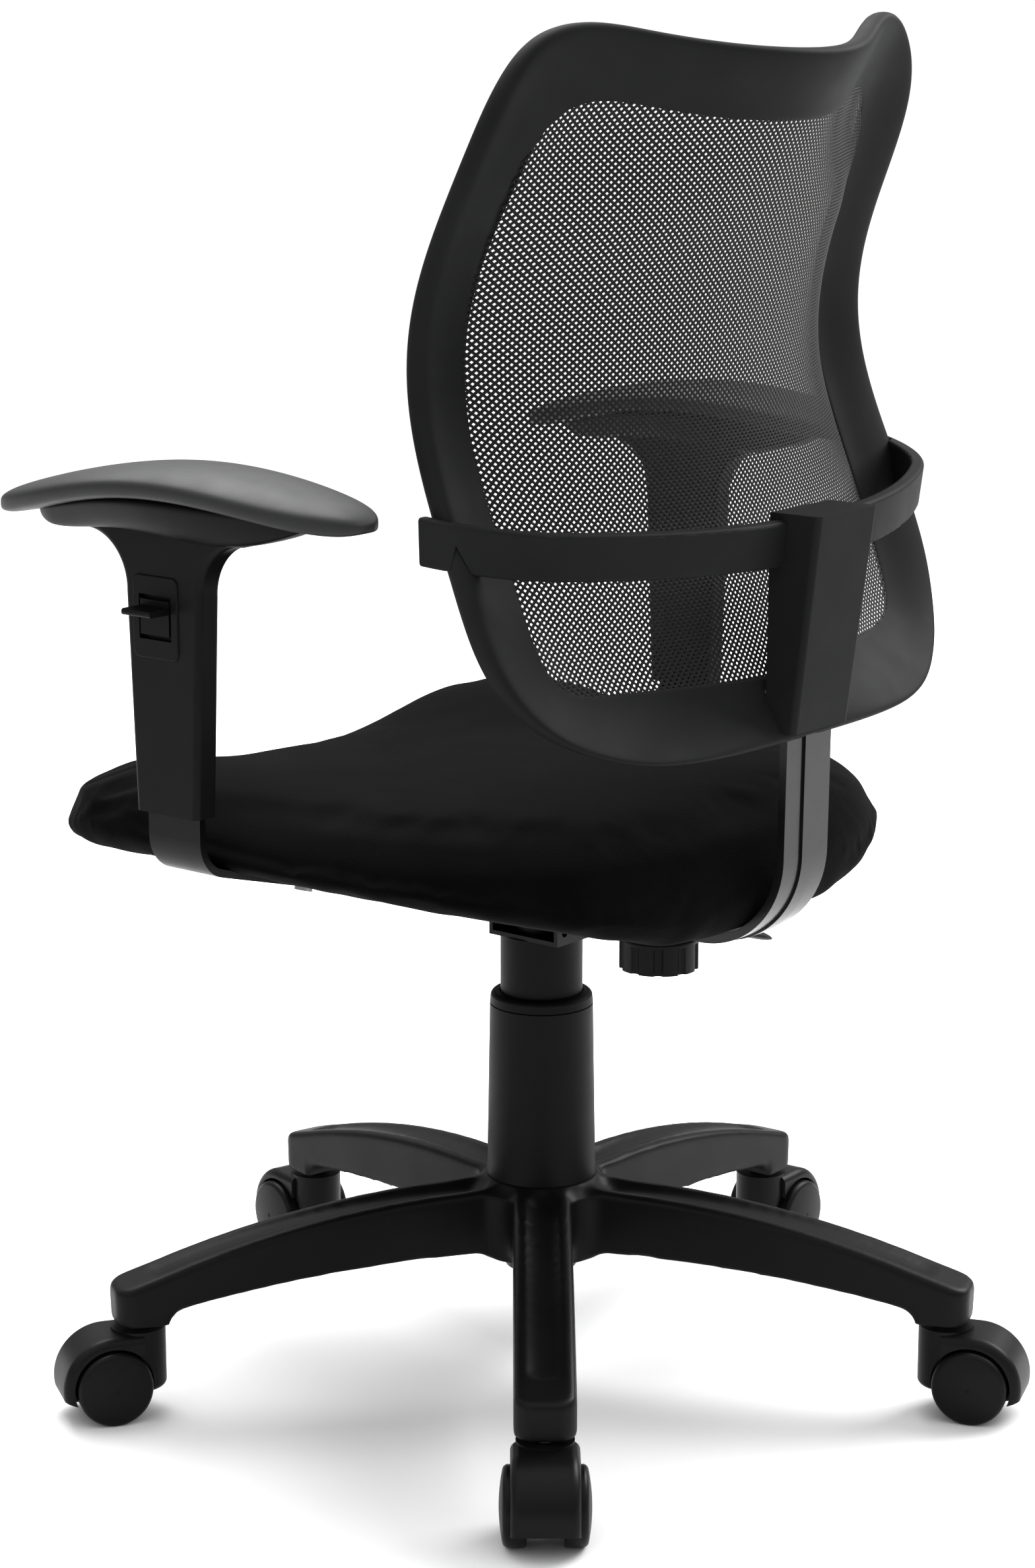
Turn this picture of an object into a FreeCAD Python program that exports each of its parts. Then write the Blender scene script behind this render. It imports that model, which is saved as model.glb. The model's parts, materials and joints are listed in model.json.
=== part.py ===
import FreeCAD, Part

# Swivel task chair with a mesh back: five-star base on twin-wheel casters, gas column, fixed seat
# plate, a flat steel bar that carries the back, and two height-adjustable arms.
# Millimetres. The chair faces -Y, +X is the sitter's left and +Z is up. The origin is on the
# floor, on the gas column's axis.

import math
import os
import re

import Sketcher
from FreeCAD import Placement, Rotation, Vector

UP, ALONG_X, ALONG_Y = Vector(0, 0, 1), Vector(1, 0, 0), Vector(0, 1, 0)
ORIGIN = Vector(0, 0, 0)
SPOKES = 5
SPOKE_STEP = 360 / SPOKES

SIZES = {
    # Casters
    "wheel_radius": 25, "wheel_width": 17, "wheel_gap": 23, "caster_trail": 20.5, "axle_radius": 4,
    "run_gap": 0.05, "fender_radius": 33.5, "fender_width": 43, "well_radius": 26.8,
    "collar_radius": 18.2, "caster_top": 60, "collar_bottom": 18, "stem_radius": 5.5,
    # Five-star base
    "caster_circle": 281, "base_turn": 39.1, "spoke_width": 39, "spoke_end": 298, "socket_bottom": 63,
    "spoke_tip_bottom": 71, "spoke_tip_top": 97, "spoke_root_top": 132, "spoke_root_bottom": 88,
    "spoke_wall": 4, "groove_width": 20, "groove_depth": 7, "hub_radius": 46, "hub_bottom": 84,
    "hub_top": 137,
    # Gas column and its covers
    "tube_radius": 25, "tube_wall": 1.5, "tube_top": 265, "tube_bottom": 72, "cylinder_radius": 14,
    "cylinder_wall": 1, "cylinder_bottom": 140, "cylinder_top": 318, "rod_radius": 5,
    "rod_bottom": 66, "rod_top": 226, "lower_cover_radius": 36.7, "lower_cover_neck": 34.7,
    "cover_wall": 2.2, "lower_cover_top": 265, "upper_cover_radius": 27.6, "upper_cover_bottom": 176,
    "valve_radius": 3, "valve_top": 322,
    # Seat plate, board and cushion
    "box_bottom": 305, "box_top": 320, "box_half": 26, "box_rear": 34, "box_front": 24, "steel": 3,
    "plate_bottom": 335, "plate_half": 62, "plate_front": 95, "plate_rear": 118, "board_bottom": 338,
    "board_thickness": 12, "board_inset": 34, "seat_half": 245, "seat_front": 260, "seat_rear": 190,
    "seat_skin": 2, "seat_top": 420, "dish_flat": 70, "dish_slope": 15.5,
    # Height lever
    "lever_turn": 169, "lever_pivot": 34, "lever_radius": 4, "lever_height": 326.3,
    # Flat bar behind the seat
    "bar_width": 48, "bar_thickness": 7, "bar_bottom": 326.5, "bar_bend": 66, "bar_back": 214,
    "bar_lean": 1, "bar_front": 48, "bar_rise": 600, "slide_gap": 0.4, "knob_y": 98,
    "knob_radius": 26, "knob_bottom": 298, "knob_top": 320,
    # Back
    "back_thickness": 18, "mesh_thickness": 1.5, "bow_middle": 608, "bow_height": 29,
    "bow_thickness": 9, "bow_reach": 218, "bow_radius": 400, "bow_side_radius": 110, "bow_angle": 28,
    "bow_end": 101, "bow_tilt": 8.3, "spine_top": 612, "spine_bottom": 474, "spine_top_half": 32,
    "spine_bottom_half": 30,
    # Arms
    "arm_x": 266, "arm_y": -78, "bracket_width": 44, "bracket_thickness": 5, "bracket_bend": 26,
    "bracket_inner_end": 78, "bracket_top": 520, "sleeve_width": 63, "sleeve_foot": 52,
    "sleeve_thickness": 19, "sleeve_bottom": 424, "sleeve_top": 602, "pad_length": 302,
    "pad_width": 84, "pad_middle": -68,
}

doc = FreeCAD.newDocument("TaskChair")
sheet = doc.addObject("Spreadsheet::Sheet", "Sizes")
for row, (alias, number) in enumerate(SIZES.items(), start=1):
    sheet.set(f"A{row}", alias)
    sheet.set(f"B{row}", str(number))
    sheet.setAlias(f"B{row}", alias)
doc.recompute()

NAME = re.compile(r"[a-z]\w*")
exported = []


# ---------------------------------------------------------------- helpers
def formula(text):
    """Points every size's name in a formula at the spreadsheet."""
    return NAME.sub(lambda m: "Sizes." + m[0] if m[0] in SIZES else m[0], str(text))


def value(text):
    """Works out a formula now, in millimetres or degrees."""
    result = sheet.evalExpression(formula(text))
    return float(getattr(result, "Value", result))


def bind(item, **formulas):
    """Ties properties to formulas of the spreadsheet; two underscores stand for a dot."""
    for name, text in formulas.items():
        item.setExpression(name.replace("__", "."), formula(text))


def keep(item, label):
    """Names a finished sub-part, so that it is checked and exported."""
    item.Label = label
    exported.append(item)
    return item


def new_body(label):
    return keep(doc.addObject("PartDesign::Body", label), label)


def origin_item(body, role):
    return next(item for item in body.Origin.OriginFeatures if item.Role == role)


def sketch_on(body, plane="XZ_Plane", offset=0):
    """Adds a sketch on one of the body's own planes, moved along the plane's normal."""
    sketch = body.newObject("Sketcher::SketchObject", body.Name + "_sketch")
    sketch.AttachmentSupport = [(origin_item(body, plane), "")]
    sketch.MapMode = "FlatFace"
    bind(sketch, AttachmentOffset__Base__z=offset)
    return sketch


def pin_point(sketch, geometry, end, across, up):
    """Holds a sketch point at two formulas from the sketch's origin."""
    for kind, text in (("DistanceX", across), ("DistanceY", up)):
        index = sketch.addConstraint(Sketcher.Constraint(kind, -1, 1, geometry, end, value(text)))
        sketch.setExpression(f"Constraints[{index}]", formula(text))


def outline(sketch, corners, arcs=None):
    """Draws a closed loop through corners, each a pair of formulas. arcs gives the radius of the
    arc that leaves a corner, by the corner's index: positive bulges to the left of its travel."""
    arcs = arcs or {}
    points = [Vector(value(across), value(up), 0) for across, up in corners]
    edges = []
    for i, start in enumerate(points):
        end = points[(i + 1) % len(points)]
        if i not in arcs:
            edges.append((sketch.addGeometry(Part.LineSegment(start, end)), 1, 2))
            continue
        radius, chord = value(arcs[i]), end - start
        rise = abs(radius) - math.sqrt(radius**2 - chord.Length**2 / 4)
        side = Vector(-chord.y, chord.x, 0).normalize() * math.copysign(rise, radius)
        geometry = sketch.addGeometry(Part.Arc(start, (start + end) / 2 + side, end))
        forward = sketch.getPoint(geometry, 1).distanceToPoint(start) < 1e-6
        edges.append((geometry, 1 if forward else 2, 2 if forward else 1))
        index = sketch.addConstraint(Sketcher.Constraint("Radius", geometry, abs(radius)))
        sketch.setExpression(f"Constraints[{index}]", f"abs({formula(arcs[i])})")
    for i, (geometry, first, _) in enumerate(edges):
        before, _, last = edges[i - 1]
        sketch.addConstraint(Sketcher.Constraint("Coincident", before, last, geometry, first))
        pin_point(sketch, geometry, first, *corners[i])


def circle(sketch, across, up, radius):
    """Draws a circle whose centre and radius are formulas."""
    centre = Vector(value(across), value(up), 0)
    geometry = sketch.addGeometry(Part.Circle(centre, UP, value(radius)))
    pin_point(sketch, geometry, 3, across, up)
    index = sketch.addConstraint(Sketcher.Constraint("Radius", geometry, value(radius)))
    sketch.setExpression(f"Constraints[{index}]", formula(radius))


def extrude(body, sketch, length, kind="Pad", symmetric=False, flip=False):
    """Pads or pockets a sketch by a length, on one side or half on each side."""
    feature = body.newObject("PartDesign::" + kind, f"{body.Name}_{kind.lower()}")
    feature.Profile = sketch
    feature.Type = "Length"
    feature.SideType = "Symmetric" if symmetric else "One side"
    feature.Reversed = flip
    bind(feature, Length=length)
    return feature


def revolve(body, sketch):
    """Turns a sketch once round its own vertical axis."""
    feature = body.newObject("PartDesign::Revolution", body.Name + "_turn")
    feature.Profile = sketch
    feature.ReferenceAxis = (sketch, ["V_Axis"])
    feature.Angle = 360
    return feature


def turned(label, corners, arcs=None):
    """A round sub-part from its half section: radius across, height up."""
    body = new_body(label)
    sketch = sketch_on(body)
    outline(sketch, corners, arcs)
    revolve(body, sketch)
    return body


def cylinder(body, radius, height, centre=(0, 0, 0), axis=UP, cut=False):
    """Adds or cuts a cylinder; centre is the middle of its first end."""
    kind = "SubtractiveCylinder" if cut else "AdditiveCylinder"
    feature = body.newObject("PartDesign::" + kind, f"{body.Name}_cylinder")
    feature.Placement = Placement(Vector(*map(value, centre)), Rotation(UP, axis))
    bind(feature, Radius=radius, Height=height)
    bind(feature, Placement__Base__x=centre[0], Placement__Base__y=centre[1],
         Placement__Base__z=centre[2])
    return feature


def box(body, low, high, cut=False):
    """Adds or cuts a box between two corners given as formulas."""
    kind = "SubtractiveBox" if cut else "AdditiveBox"
    feature = body.newObject("PartDesign::" + kind, f"{body.Name}_box")
    spans = [f"({top}) - ({bottom})" for bottom, top in zip(low, high)]
    bind(feature, Length=spans[0], Width=spans[1], Height=spans[2])
    bind(feature, Placement__Base__x=low[0], Placement__Base__y=low[1], Placement__Base__z=low[2])
    return feature


def rounded(body, radius, chosen):
    """Fillets the edges of the body's last feature for which chosen(edge) is true."""
    doc.recompute()
    base = body.Tip
    edges = [f"Edge{i}" for i, edge in enumerate(base.Shape.Edges, start=1) if chosen(edge)]
    feature = body.newObject("PartDesign::Fillet", body.Name + "_fillet")
    feature.Base = (base, edges)
    bind(feature, Radius=radius)
    return feature


def middle(edge):
    """The point half way along an edge."""
    return edge.valueAt((edge.FirstParameter + edge.LastParameter) / 2)


def spread(edge, axis):
    """How far an edge reaches along one axis."""
    bounds = edge.BoundBox
    return {"x": bounds.XLength, "y": bounds.YLength, "z": bounds.ZLength}[axis]


def place(item, x=0, y=0, z=0, turn=0, axis=UP):
    """Puts a sub-part in the chair, turned by degrees about an axis."""
    item.Placement = Placement(Vector(value(x), value(y), value(z)), Rotation(axis, value(turn)))


def solid_feature(label, shape):
    """A sub-part whose shape is worked out here."""
    feature = keep(doc.addObject("Part::Feature", label), label)
    feature.Shape = shape
    return feature


def group(label, *shapes):
    """Separate solids that share one node."""
    return solid_feature(label, Part.makeCompound(list(shapes)))


def bolt(centre, radius, length, head_radius, head_height, axis=UP):
    """A bolt whose head's top touches centre and whose shank goes on along axis."""
    head = Part.makeCylinder(head_radius, head_height, centre - axis * head_height, axis)
    recess = Part.makeCylinder(head_radius * 0.5, head_height * 0.5, centre - axis * head_height, axis)
    shank = Part.makeCylinder(radius, length, centre, axis)
    return head.fuse(shank).cut(recess).removeSplitter()


def smooth_face(points):
    """A flat face inside one smooth closed curve."""
    curve = Part.BSplineCurve()
    curve.interpolate(points, PeriodicFlag=True)
    return Part.Face(Part.Wire(curve.toShape()))


def mirrored_x(points):
    """Closes a half outline, listed from the middle of one end to the middle of the other."""
    return points + [(-x, y) for x, y in reversed(points) if x > 0]


# ---------------------------------------------------------------- base and casters
def star_base():
    """One spoke, patterned five times round the hub, with the column's bore through it."""
    body = new_body("star_base")
    side = sketch_on(body)
    outline(side, [("20", "spoke_root_bottom"), ("60", "spoke_root_bottom"),
                   ("caster_circle - 18", "spoke_tip_bottom"), ("caster_circle - 18", "socket_bottom"),
                   ("spoke_end - 1", "socket_bottom"), ("spoke_end", "spoke_tip_top - 9"),
                   ("spoke_end - 30", "spoke_tip_top"), ("60", "spoke_root_top"),
                   ("20", "spoke_root_top + 3")], arcs={1: "1017", 6: "-709"})
    extrude(body, side, "spoke_width", symmetric=True)
    tip = value("spoke_end")
    rounded(body, "13", lambda e: middle(e).x > tip - 3 and spread(e, "z") > 15 and spread(e, "y") < 1)
    top = value("spoke_tip_top") - 12
    rounded(body, "5", lambda e: middle(e).z > top and spread(e, "x") > 5 and middle(e).x < tip - 5)
    channel = sketch_on(body)
    outline(channel, [("30", "spoke_root_top + 8"), ("30", "spoke_root_top - groove_depth"),
                      ("spoke_end - 26", "spoke_tip_top - 4"), ("spoke_end - 26", "spoke_tip_top + 20")],
            arcs={1: "600"})
    extrude(body, channel, "groove_width", kind="Pocket", symmetric=True)
    hollow = sketch_on(body)
    outline(hollow, [("52", "spoke_tip_bottom - 20"), ("52", "spoke_root_top - 22"),
                     ("caster_circle - 30", "spoke_tip_top - 15"),
                     ("caster_circle - 30", "spoke_tip_bottom - 20")], arcs={1: "700"})
    extrude(body, hollow, "spoke_width - 2 * spoke_wall", kind="Pocket", symmetric=True)
    cylinder(body, "stem_radius", "26", ("caster_circle", "0", "socket_bottom - 1"), cut=True)
    doc.recompute()
    ring = body.newObject("PartDesign::PolarPattern", "spokes")
    ring.TransformMode = "Whole shape"
    ring.Axis = (origin_item(body, "Z_Axis"), [""])
    ring.Angle = 360
    ring.Occurrences = SPOKES
    body.Tip = ring
    hub = sketch_on(body)
    outline(hub, [("0", "hub_bottom"), ("hub_radius", "hub_bottom"), ("hub_radius", "hub_top - 7"),
                  ("hub_radius - 7", "hub_top"), ("0", "hub_top")], arcs={2: "7"})
    revolve(body, hub)
    bore = sketch_on(body)
    outline(bore, [("0", "hub_bottom - 20"), ("tube_radius - 0.8", "hub_bottom - 20"),
                   ("tube_radius - 0.8", "hub_bottom"), ("tube_radius", "hub_top"),
                   ("tube_radius", "hub_top + 5"), ("0", "hub_top + 5")])
    groove = body.newObject("PartDesign::Groove", "column_bore")
    groove.Profile = bore
    groove.ReferenceAxis = (bore, ["V_Axis"])
    groove.Angle = 360
    place(body, turn="base_turn")
    return body


def caster_angle(index):
    return value("base_turn") + SPOKE_STEP * index


def at_caster(shape, index):
    """Moves a shape from the stem's own frame, +X outwards, to its place on the base."""
    moved = shape.copy()
    moved.translate(Vector(value("caster_circle"), 0, 0))
    moved.rotate(ORIGIN, UP, caster_angle(index))
    return moved


def caster_stems():
    """Five steel stems: a pin with a thin shoulder between the socket and the caster's hood."""
    radius, collar = value("stem_radius"), value("caster_top") + 0.6
    pin = Part.makeCylinder(radius, 60, Vector(0, 0, 26))
    shoulder = Part.makeCylinder(radius + 3, 2.2, Vector(0, 0, collar))
    stem = pin.fuse(shoulder).removeSplitter()
    group("caster_stems", *[at_caster(stem, i) for i in range(SPOKES)])


def caster_hood(index):
    """Fender over both wheels, centre web and stem collar in one moulding."""
    body = new_body(f"caster_hood_{index + 1}")
    side = sketch_on(body)
    outline(side, [("0", "collar_bottom + 4"), ("caster_trail", "wheel_radius - 17"),
                   ("caster_trail + 14", "wheel_radius - 14"),
                   ("caster_trail + fender_radius * cos(12)", "wheel_radius - fender_radius * sin(12)"),
                   ("caster_trail", "wheel_radius + fender_radius"), ("0", "wheel_radius + fender_radius")],
            arcs={3: "-fender_radius"})
    extrude(body, side, "fender_width", symmetric=True)
    doc.recompute()
    bounds = body.Tip.Shape.BoundBox
    rounded(body, "6", lambda e: spread(e, "y") < 1 and middle(e).z > bounds.ZMax - 25 and spread(e, "x") > 8
            and middle(e).x > 5)
    cylinder(body, "collar_radius", "caster_top - collar_bottom", ("0", "0", "collar_bottom"))
    rounded(body, "4", lambda e: abs(middle(e).z - value("collar_bottom")) < 0.1 and middle(e).x < -5)
    side_gap = "wheel_gap / 2 - 1.2"
    cylinder(body, "well_radius", "30", ("caster_trail", side_gap, "wheel_radius"), ALONG_Y, cut=True)
    cylinder(body, "well_radius", "30", ("caster_trail", f"-({side_gap})", "wheel_radius"),
             Vector(0, -1, 0), cut=True)
    cylinder(body, "axle_radius", "60", ("caster_trail", "-30", "wheel_radius"), ALONG_Y, cut=True)
    cylinder(body, "stem_radius + run_gap", "40", ("0", "0", "25"), cut=True)
    return body


def caster_wheel(index, side):
    """One hollow nylon wheel, closed outside by a low dome, running on the axle's end."""
    dome = 2.2
    dome_radius = f"((wheel_radius - 3) ^ 2 + {dome} ^ 2) / (2 * {dome})"
    body = turned(f"caster_wheel_{index + 1}_{side}",
                  [("0", "wheel_width"), ("0", "wheel_width - 3.4"),
                   ("axle_radius + run_gap", "wheel_width - 3.4"), ("axle_radius + run_gap", "1"),
                   ("axle_radius + 4", "1"), ("axle_radius + 4", "wheel_width - 6"),
                   ("wheel_radius - 5", "wheel_width - 6"), ("wheel_radius - 5", "0"),
                   ("wheel_radius - 1.5", "0"), ("wheel_radius", "1.5"),
                   ("wheel_radius", "wheel_width - 5"),
                   ("wheel_radius - 3", f"wheel_width - {dome}")],
                  arcs={8: "-1.5", 10: "-4", 11: f"-({dome_radius})"})
    return body


def casters():
    for index in range(SPOKES):
        turn = Rotation(UP, caster_angle(index))
        stem = turn.multVec(Vector(value("caster_circle"), 0, 0))
        hood = caster_hood(index)
        hood.Placement = Placement(stem, turn)
        centre = stem + turn.multVec(Vector(value("caster_trail"), 0, value("wheel_radius")))
        half = value("wheel_gap / 2")
        for side, sign in (("left", 1), ("right", -1)):
            wheel = caster_wheel(index, side)
            outwards = turn.multVec(Vector(0, sign, 0))
            wheel.Placement = Placement(centre + outwards * half, Rotation(UP, outwards))
        axle = new_body(f"caster_axle_{index + 1}")
        cylinder(axle, "axle_radius", "wheel_gap + 24", ("0", "0", "-(wheel_gap + 24) / 2"))
        axle.Placement = Placement(centre, Rotation(UP, turn.multVec(ALONG_Y)))


# ---------------------------------------------------------------- gas column
def gas_column():
    wall = "tube_radius - tube_wall"
    hole = "rod_radius + 0.08"
    turned("column_tube", [(hole, "tube_bottom"), ("tube_radius - 0.9", "tube_bottom"),
                           ("tube_radius - 0.8", "hub_bottom"), ("tube_radius", "hub_top"),
                           ("tube_radius", "tube_top"), (wall, "tube_top"),
                           (wall, "hub_top"), ("tube_radius - 0.8 - tube_wall", "hub_bottom"),
                           ("tube_radius - 0.8 - tube_wall", "tube_bottom + 3"),
                           (hole, "tube_bottom + 3")])
    turned("column_bushing", [("cylinder_radius + run_gap", "tube_top - 60"), (wall, "tube_top - 60"),
                              (wall, "tube_top"), ("tube_radius - 0.5", "tube_top"),
                              ("tube_radius - 0.5", "tube_top + 1.5"),
                              ("cylinder_radius + run_gap", "tube_top + 1.5")])
    floor = "tube_bottom + 3"
    turned("thrust_bearing", [(hole, floor), ("12", floor), ("12", f"{floor} + 1.5"),
                              ("11", f"{floor} + 1.5"), ("11", f"{floor} + 4.5"),
                              ("12", f"{floor} + 4.5"), ("12", f"{floor} + 6"), (hole, f"{floor} + 6")])
    turned("piston_rod", [("0", "rod_bottom"), ("rod_radius - 0.5", "rod_bottom"),
                          ("rod_radius", "rod_bottom + 0.5"), ("rod_radius", "tube_bottom - 3"),
                          ("rod_radius - 1", "tube_bottom - 3"), ("rod_radius - 1", "tube_bottom - 1.5"),
                          ("rod_radius", "tube_bottom - 1.5"), ("rod_radius", "rod_top"),
                          ("0", "rod_top")])
    turned("column_clip", [("rod_radius - 1", "tube_bottom - 3"), ("8", "tube_bottom - 3"),
                           ("8", "tube_bottom - 1.5"), ("rod_radius - 1", "tube_bottom - 1.5")])
    inner = "cylinder_radius - cylinder_wall"
    turned("piston_head", [("0", "rod_top"), (f"{inner} - run_gap", "rod_top"),
                           (f"{inner} - run_gap", "rod_top + 3"), (f"{inner} - 1", "rod_top + 3"),
                           (f"{inner} - 1", "rod_top + 7"), (f"{inner} - run_gap", "rod_top + 7"),
                           (f"{inner} - run_gap", "rod_top + 10"), ("0", "rod_top + 10")])
    low, high = "cylinder_bottom", "cylinder_top"
    turned("gas_cylinder", [(hole, low), ("cylinder_radius - 1", low), ("cylinder_radius", f"{low} + 1"),
                            ("cylinder_radius", high), ("valve_radius + run_gap", high),
                            ("valve_radius + run_gap", f"{high} - 20"), ("0", f"{high} - 20"),
                            ("0", f"{high} - 30"), (inner, f"{high} - 30"), (inner, f"{low} + 6"),
                            (hole, f"{low} + 6")])
    turned("valve_pin", [("0", f"{high} - 14"), ("valve_radius", f"{high} - 14"),
                         ("valve_radius", "valve_top - 0.8"), ("valve_radius - 0.8", "valve_top"),
                         ("0", "valve_top")])
    neck, top = "lower_cover_neck", "lower_cover_top"
    turned("lower_column_cover", [("lower_cover_radius - cover_wall", "hub_top"),
                                  ("lower_cover_radius", "hub_top"), (neck, f"{top} - 9"),
                                  (f"{neck} - 0.8", f"{top} - 8.5"), (neck, f"{top} - 8"),
                                  (f"{neck} - 0.5", f"{top} - 3"), (f"{neck} - 3", f"{top} - 0.4"),
                                  ("upper_cover_radius + 0.7", top),
                                  ("upper_cover_radius + 0.7", f"{top} - 3"),
                                  (f"{neck} - cover_wall", f"{top} - 9")], arcs={5: "-4"})
    outer = "upper_cover_radius"
    turned("upper_column_cover", [(f"{outer} - 1.9", "upper_cover_bottom"), (outer, "upper_cover_bottom"),
                                  (outer, "box_bottom"), (f"{outer} - 1.9", "box_bottom")])


# ---------------------------------------------------------------- seat
def seat_points(inset=0.0):
    """The seat's outline seen from above: full at the front, drawn in towards the back."""
    half, front, rear = (value(n) - inset for n in ("seat_half", "seat_front", "seat_rear"))
    return [Vector(x, y, 0) for x, y in mirrored_x(
        [(0, -front), (0.62 * half, -0.985 * front), (0.94 * half, -0.80 * front),
         (half, -0.42 * front), (0.98 * half, 0.02 * rear), (0.87 * half, 0.52 * rear),
         (0.63 * half, 0.86 * rear), (0.32 * half, 0.985 * rear), (0, rear)])]


# How far the cushion's rounded side lies inside its widest outline, by height below its top,
# and its top line from the front edge to the rear one, as height below the highest point.
SEAT_ROUNDING = [(-92, 42), (-84, 26), (-76, 15), (-64, 5), (-50, 1), (-34, 0), (-21, 3), (-11, 12),
                 (-3, 28), (4, 54)]
SEAT_CROWN = [(-266, -30), (-240, -19), (-200, -11), (-140, -5), (-40, -1), (110, 0), (160, -6),
              (194, -18)]


def seat_prism(inset, low=300, high=460):
    face = smooth_face(seat_points(inset))
    face.translate(Vector(0, 0, low))
    return face.extrude(Vector(0, 0, high - low))


def dish_height(x, base):
    """Height of the dished board at x: level in the middle, its sides rising evenly."""
    rise = math.tan(math.radians(value("dish_slope")))
    return base + max(abs(x) - value("dish_flat"), 0) * rise


def dished_slab(low, thickness):
    """A slab as wide and deep as the seat whose underside follows the dish."""
    reach = 260
    xs = [-reach, -value("dish_flat"), value("dish_flat"), reach]
    under = [Vector(x, -300, dish_height(x, low)) for x in xs]
    over = [Vector(x, -300, dish_height(x, low) + thickness) for x in reversed(xs)]
    return Part.Face(Part.makePolygon(under + over + under[:1])).extrude(Vector(0, 600, 0))


def board_normal(x):
    """The direction square to the dished board at x, upwards."""
    tilt = -math.copysign(value("dish_slope"), x) if abs(x) > value("dish_flat") else 0
    return Rotation(ALONG_Y, tilt).multVec(UP)


def mech_bolt_points():
    return [Vector(x, y, 0) for x in (-48, 48) for y in (-78, 78)]


def bracket_bolt_points(side):
    return [Vector(side * x, value("arm_y"), 0) for x in (95, 145)]


def seat_pieces():
    """Dished plywood board in the bottom of an upholstered cushion, with its nuts and bolts."""
    bottom, thickness = value("board_bottom"), value("board_thickness")
    board = dished_slab(bottom, thickness).common(seat_prism(value("board_inset")))
    bolts = mech_bolt_points() + bracket_bolt_points(1) + bracket_bolt_points(-1)
    for point in bolts:
        middle_point = point + UP * dish_height(point.x, bottom + thickness)
        axis = board_normal(point.x)
        board = board.cut(Part.makeCylinder(4.3, 60, middle_point - axis * 30, axis))
    solid_feature("seat_board", board)
    rounds = []
    for height, inset in SEAT_ROUNDING:
        rim = smooth_face(seat_points(inset)).OuterWire
        rim.translate(UP * (value("seat_top") + height))
        rounds.append(rim)
    form = Part.makeLoft(rounds, True)
    crown = Part.BSplineCurve()
    crown.interpolate([Vector(-300, y, value("seat_top") + height) for y, height in SEAT_CROWN])
    front, rear = crown.StartPoint, crown.EndPoint
    under = [Vector(-300, rear.y, 300), Vector(-300, front.y, 300)]
    edges = [crown.toShape(), Part.makeLine(rear, under[0]), Part.makeLine(*under),
             Part.makeLine(under[1], front)]
    profile = Part.Face(Part.Wire(edges)).extrude(Vector(600, 0, 0))
    cushion = dished_slab(bottom + value("seat_skin"), 130).common(form).common(profile)
    cushion = cushion.cut(dished_slab(bottom - 20, thickness + 20).common(
        seat_prism(value("board_inset") - 0.4)))
    for point in bolts:
        height = dish_height(point.x, bottom + thickness)
        cushion = cushion.cut(Part.makeCylinder(9.8, 8, point + UP * (height - 4)))
    solid_feature("seat_cushion", cushion)
    nuts, screws = [], []
    for point in bolts:
        axis = board_normal(point.x)
        seat_point = point + UP * dish_height(point.x, bottom + thickness)
        flange = Part.makeCylinder(9, 1.5, seat_point, axis)
        barrel = Part.makeCylinder(4.2, 8, seat_point, axis * -1)
        bore = Part.makeCylinder(3, 20, seat_point - axis * 10, axis)
        nuts.append(flange.fuse(barrel).cut(bore).removeSplitter())
        if abs(point.x) > value("dish_flat"):
            start = seat_point - axis * (thickness * math.cos(math.radians(value("dish_slope")))
                                         + value("bracket_thickness"))
            screws.append(bolt(start, 3, 17, 6, 4, axis))
    group("tee_nuts", *nuts)
    plate = value("plate_bottom")
    group("mech_bolts", *[bolt(p + UP * plate, 3, 15, 6, 4) for p in mech_bolt_points()])
    group("arm_bracket_bolts", *screws)


def lever_frame(shape):
    """Turns a shape built along +X into the height lever's own direction."""
    turned_shape = shape.copy()
    turned_shape.rotate(ORIGIN, UP, value("lever_turn"))
    return turned_shape


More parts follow.
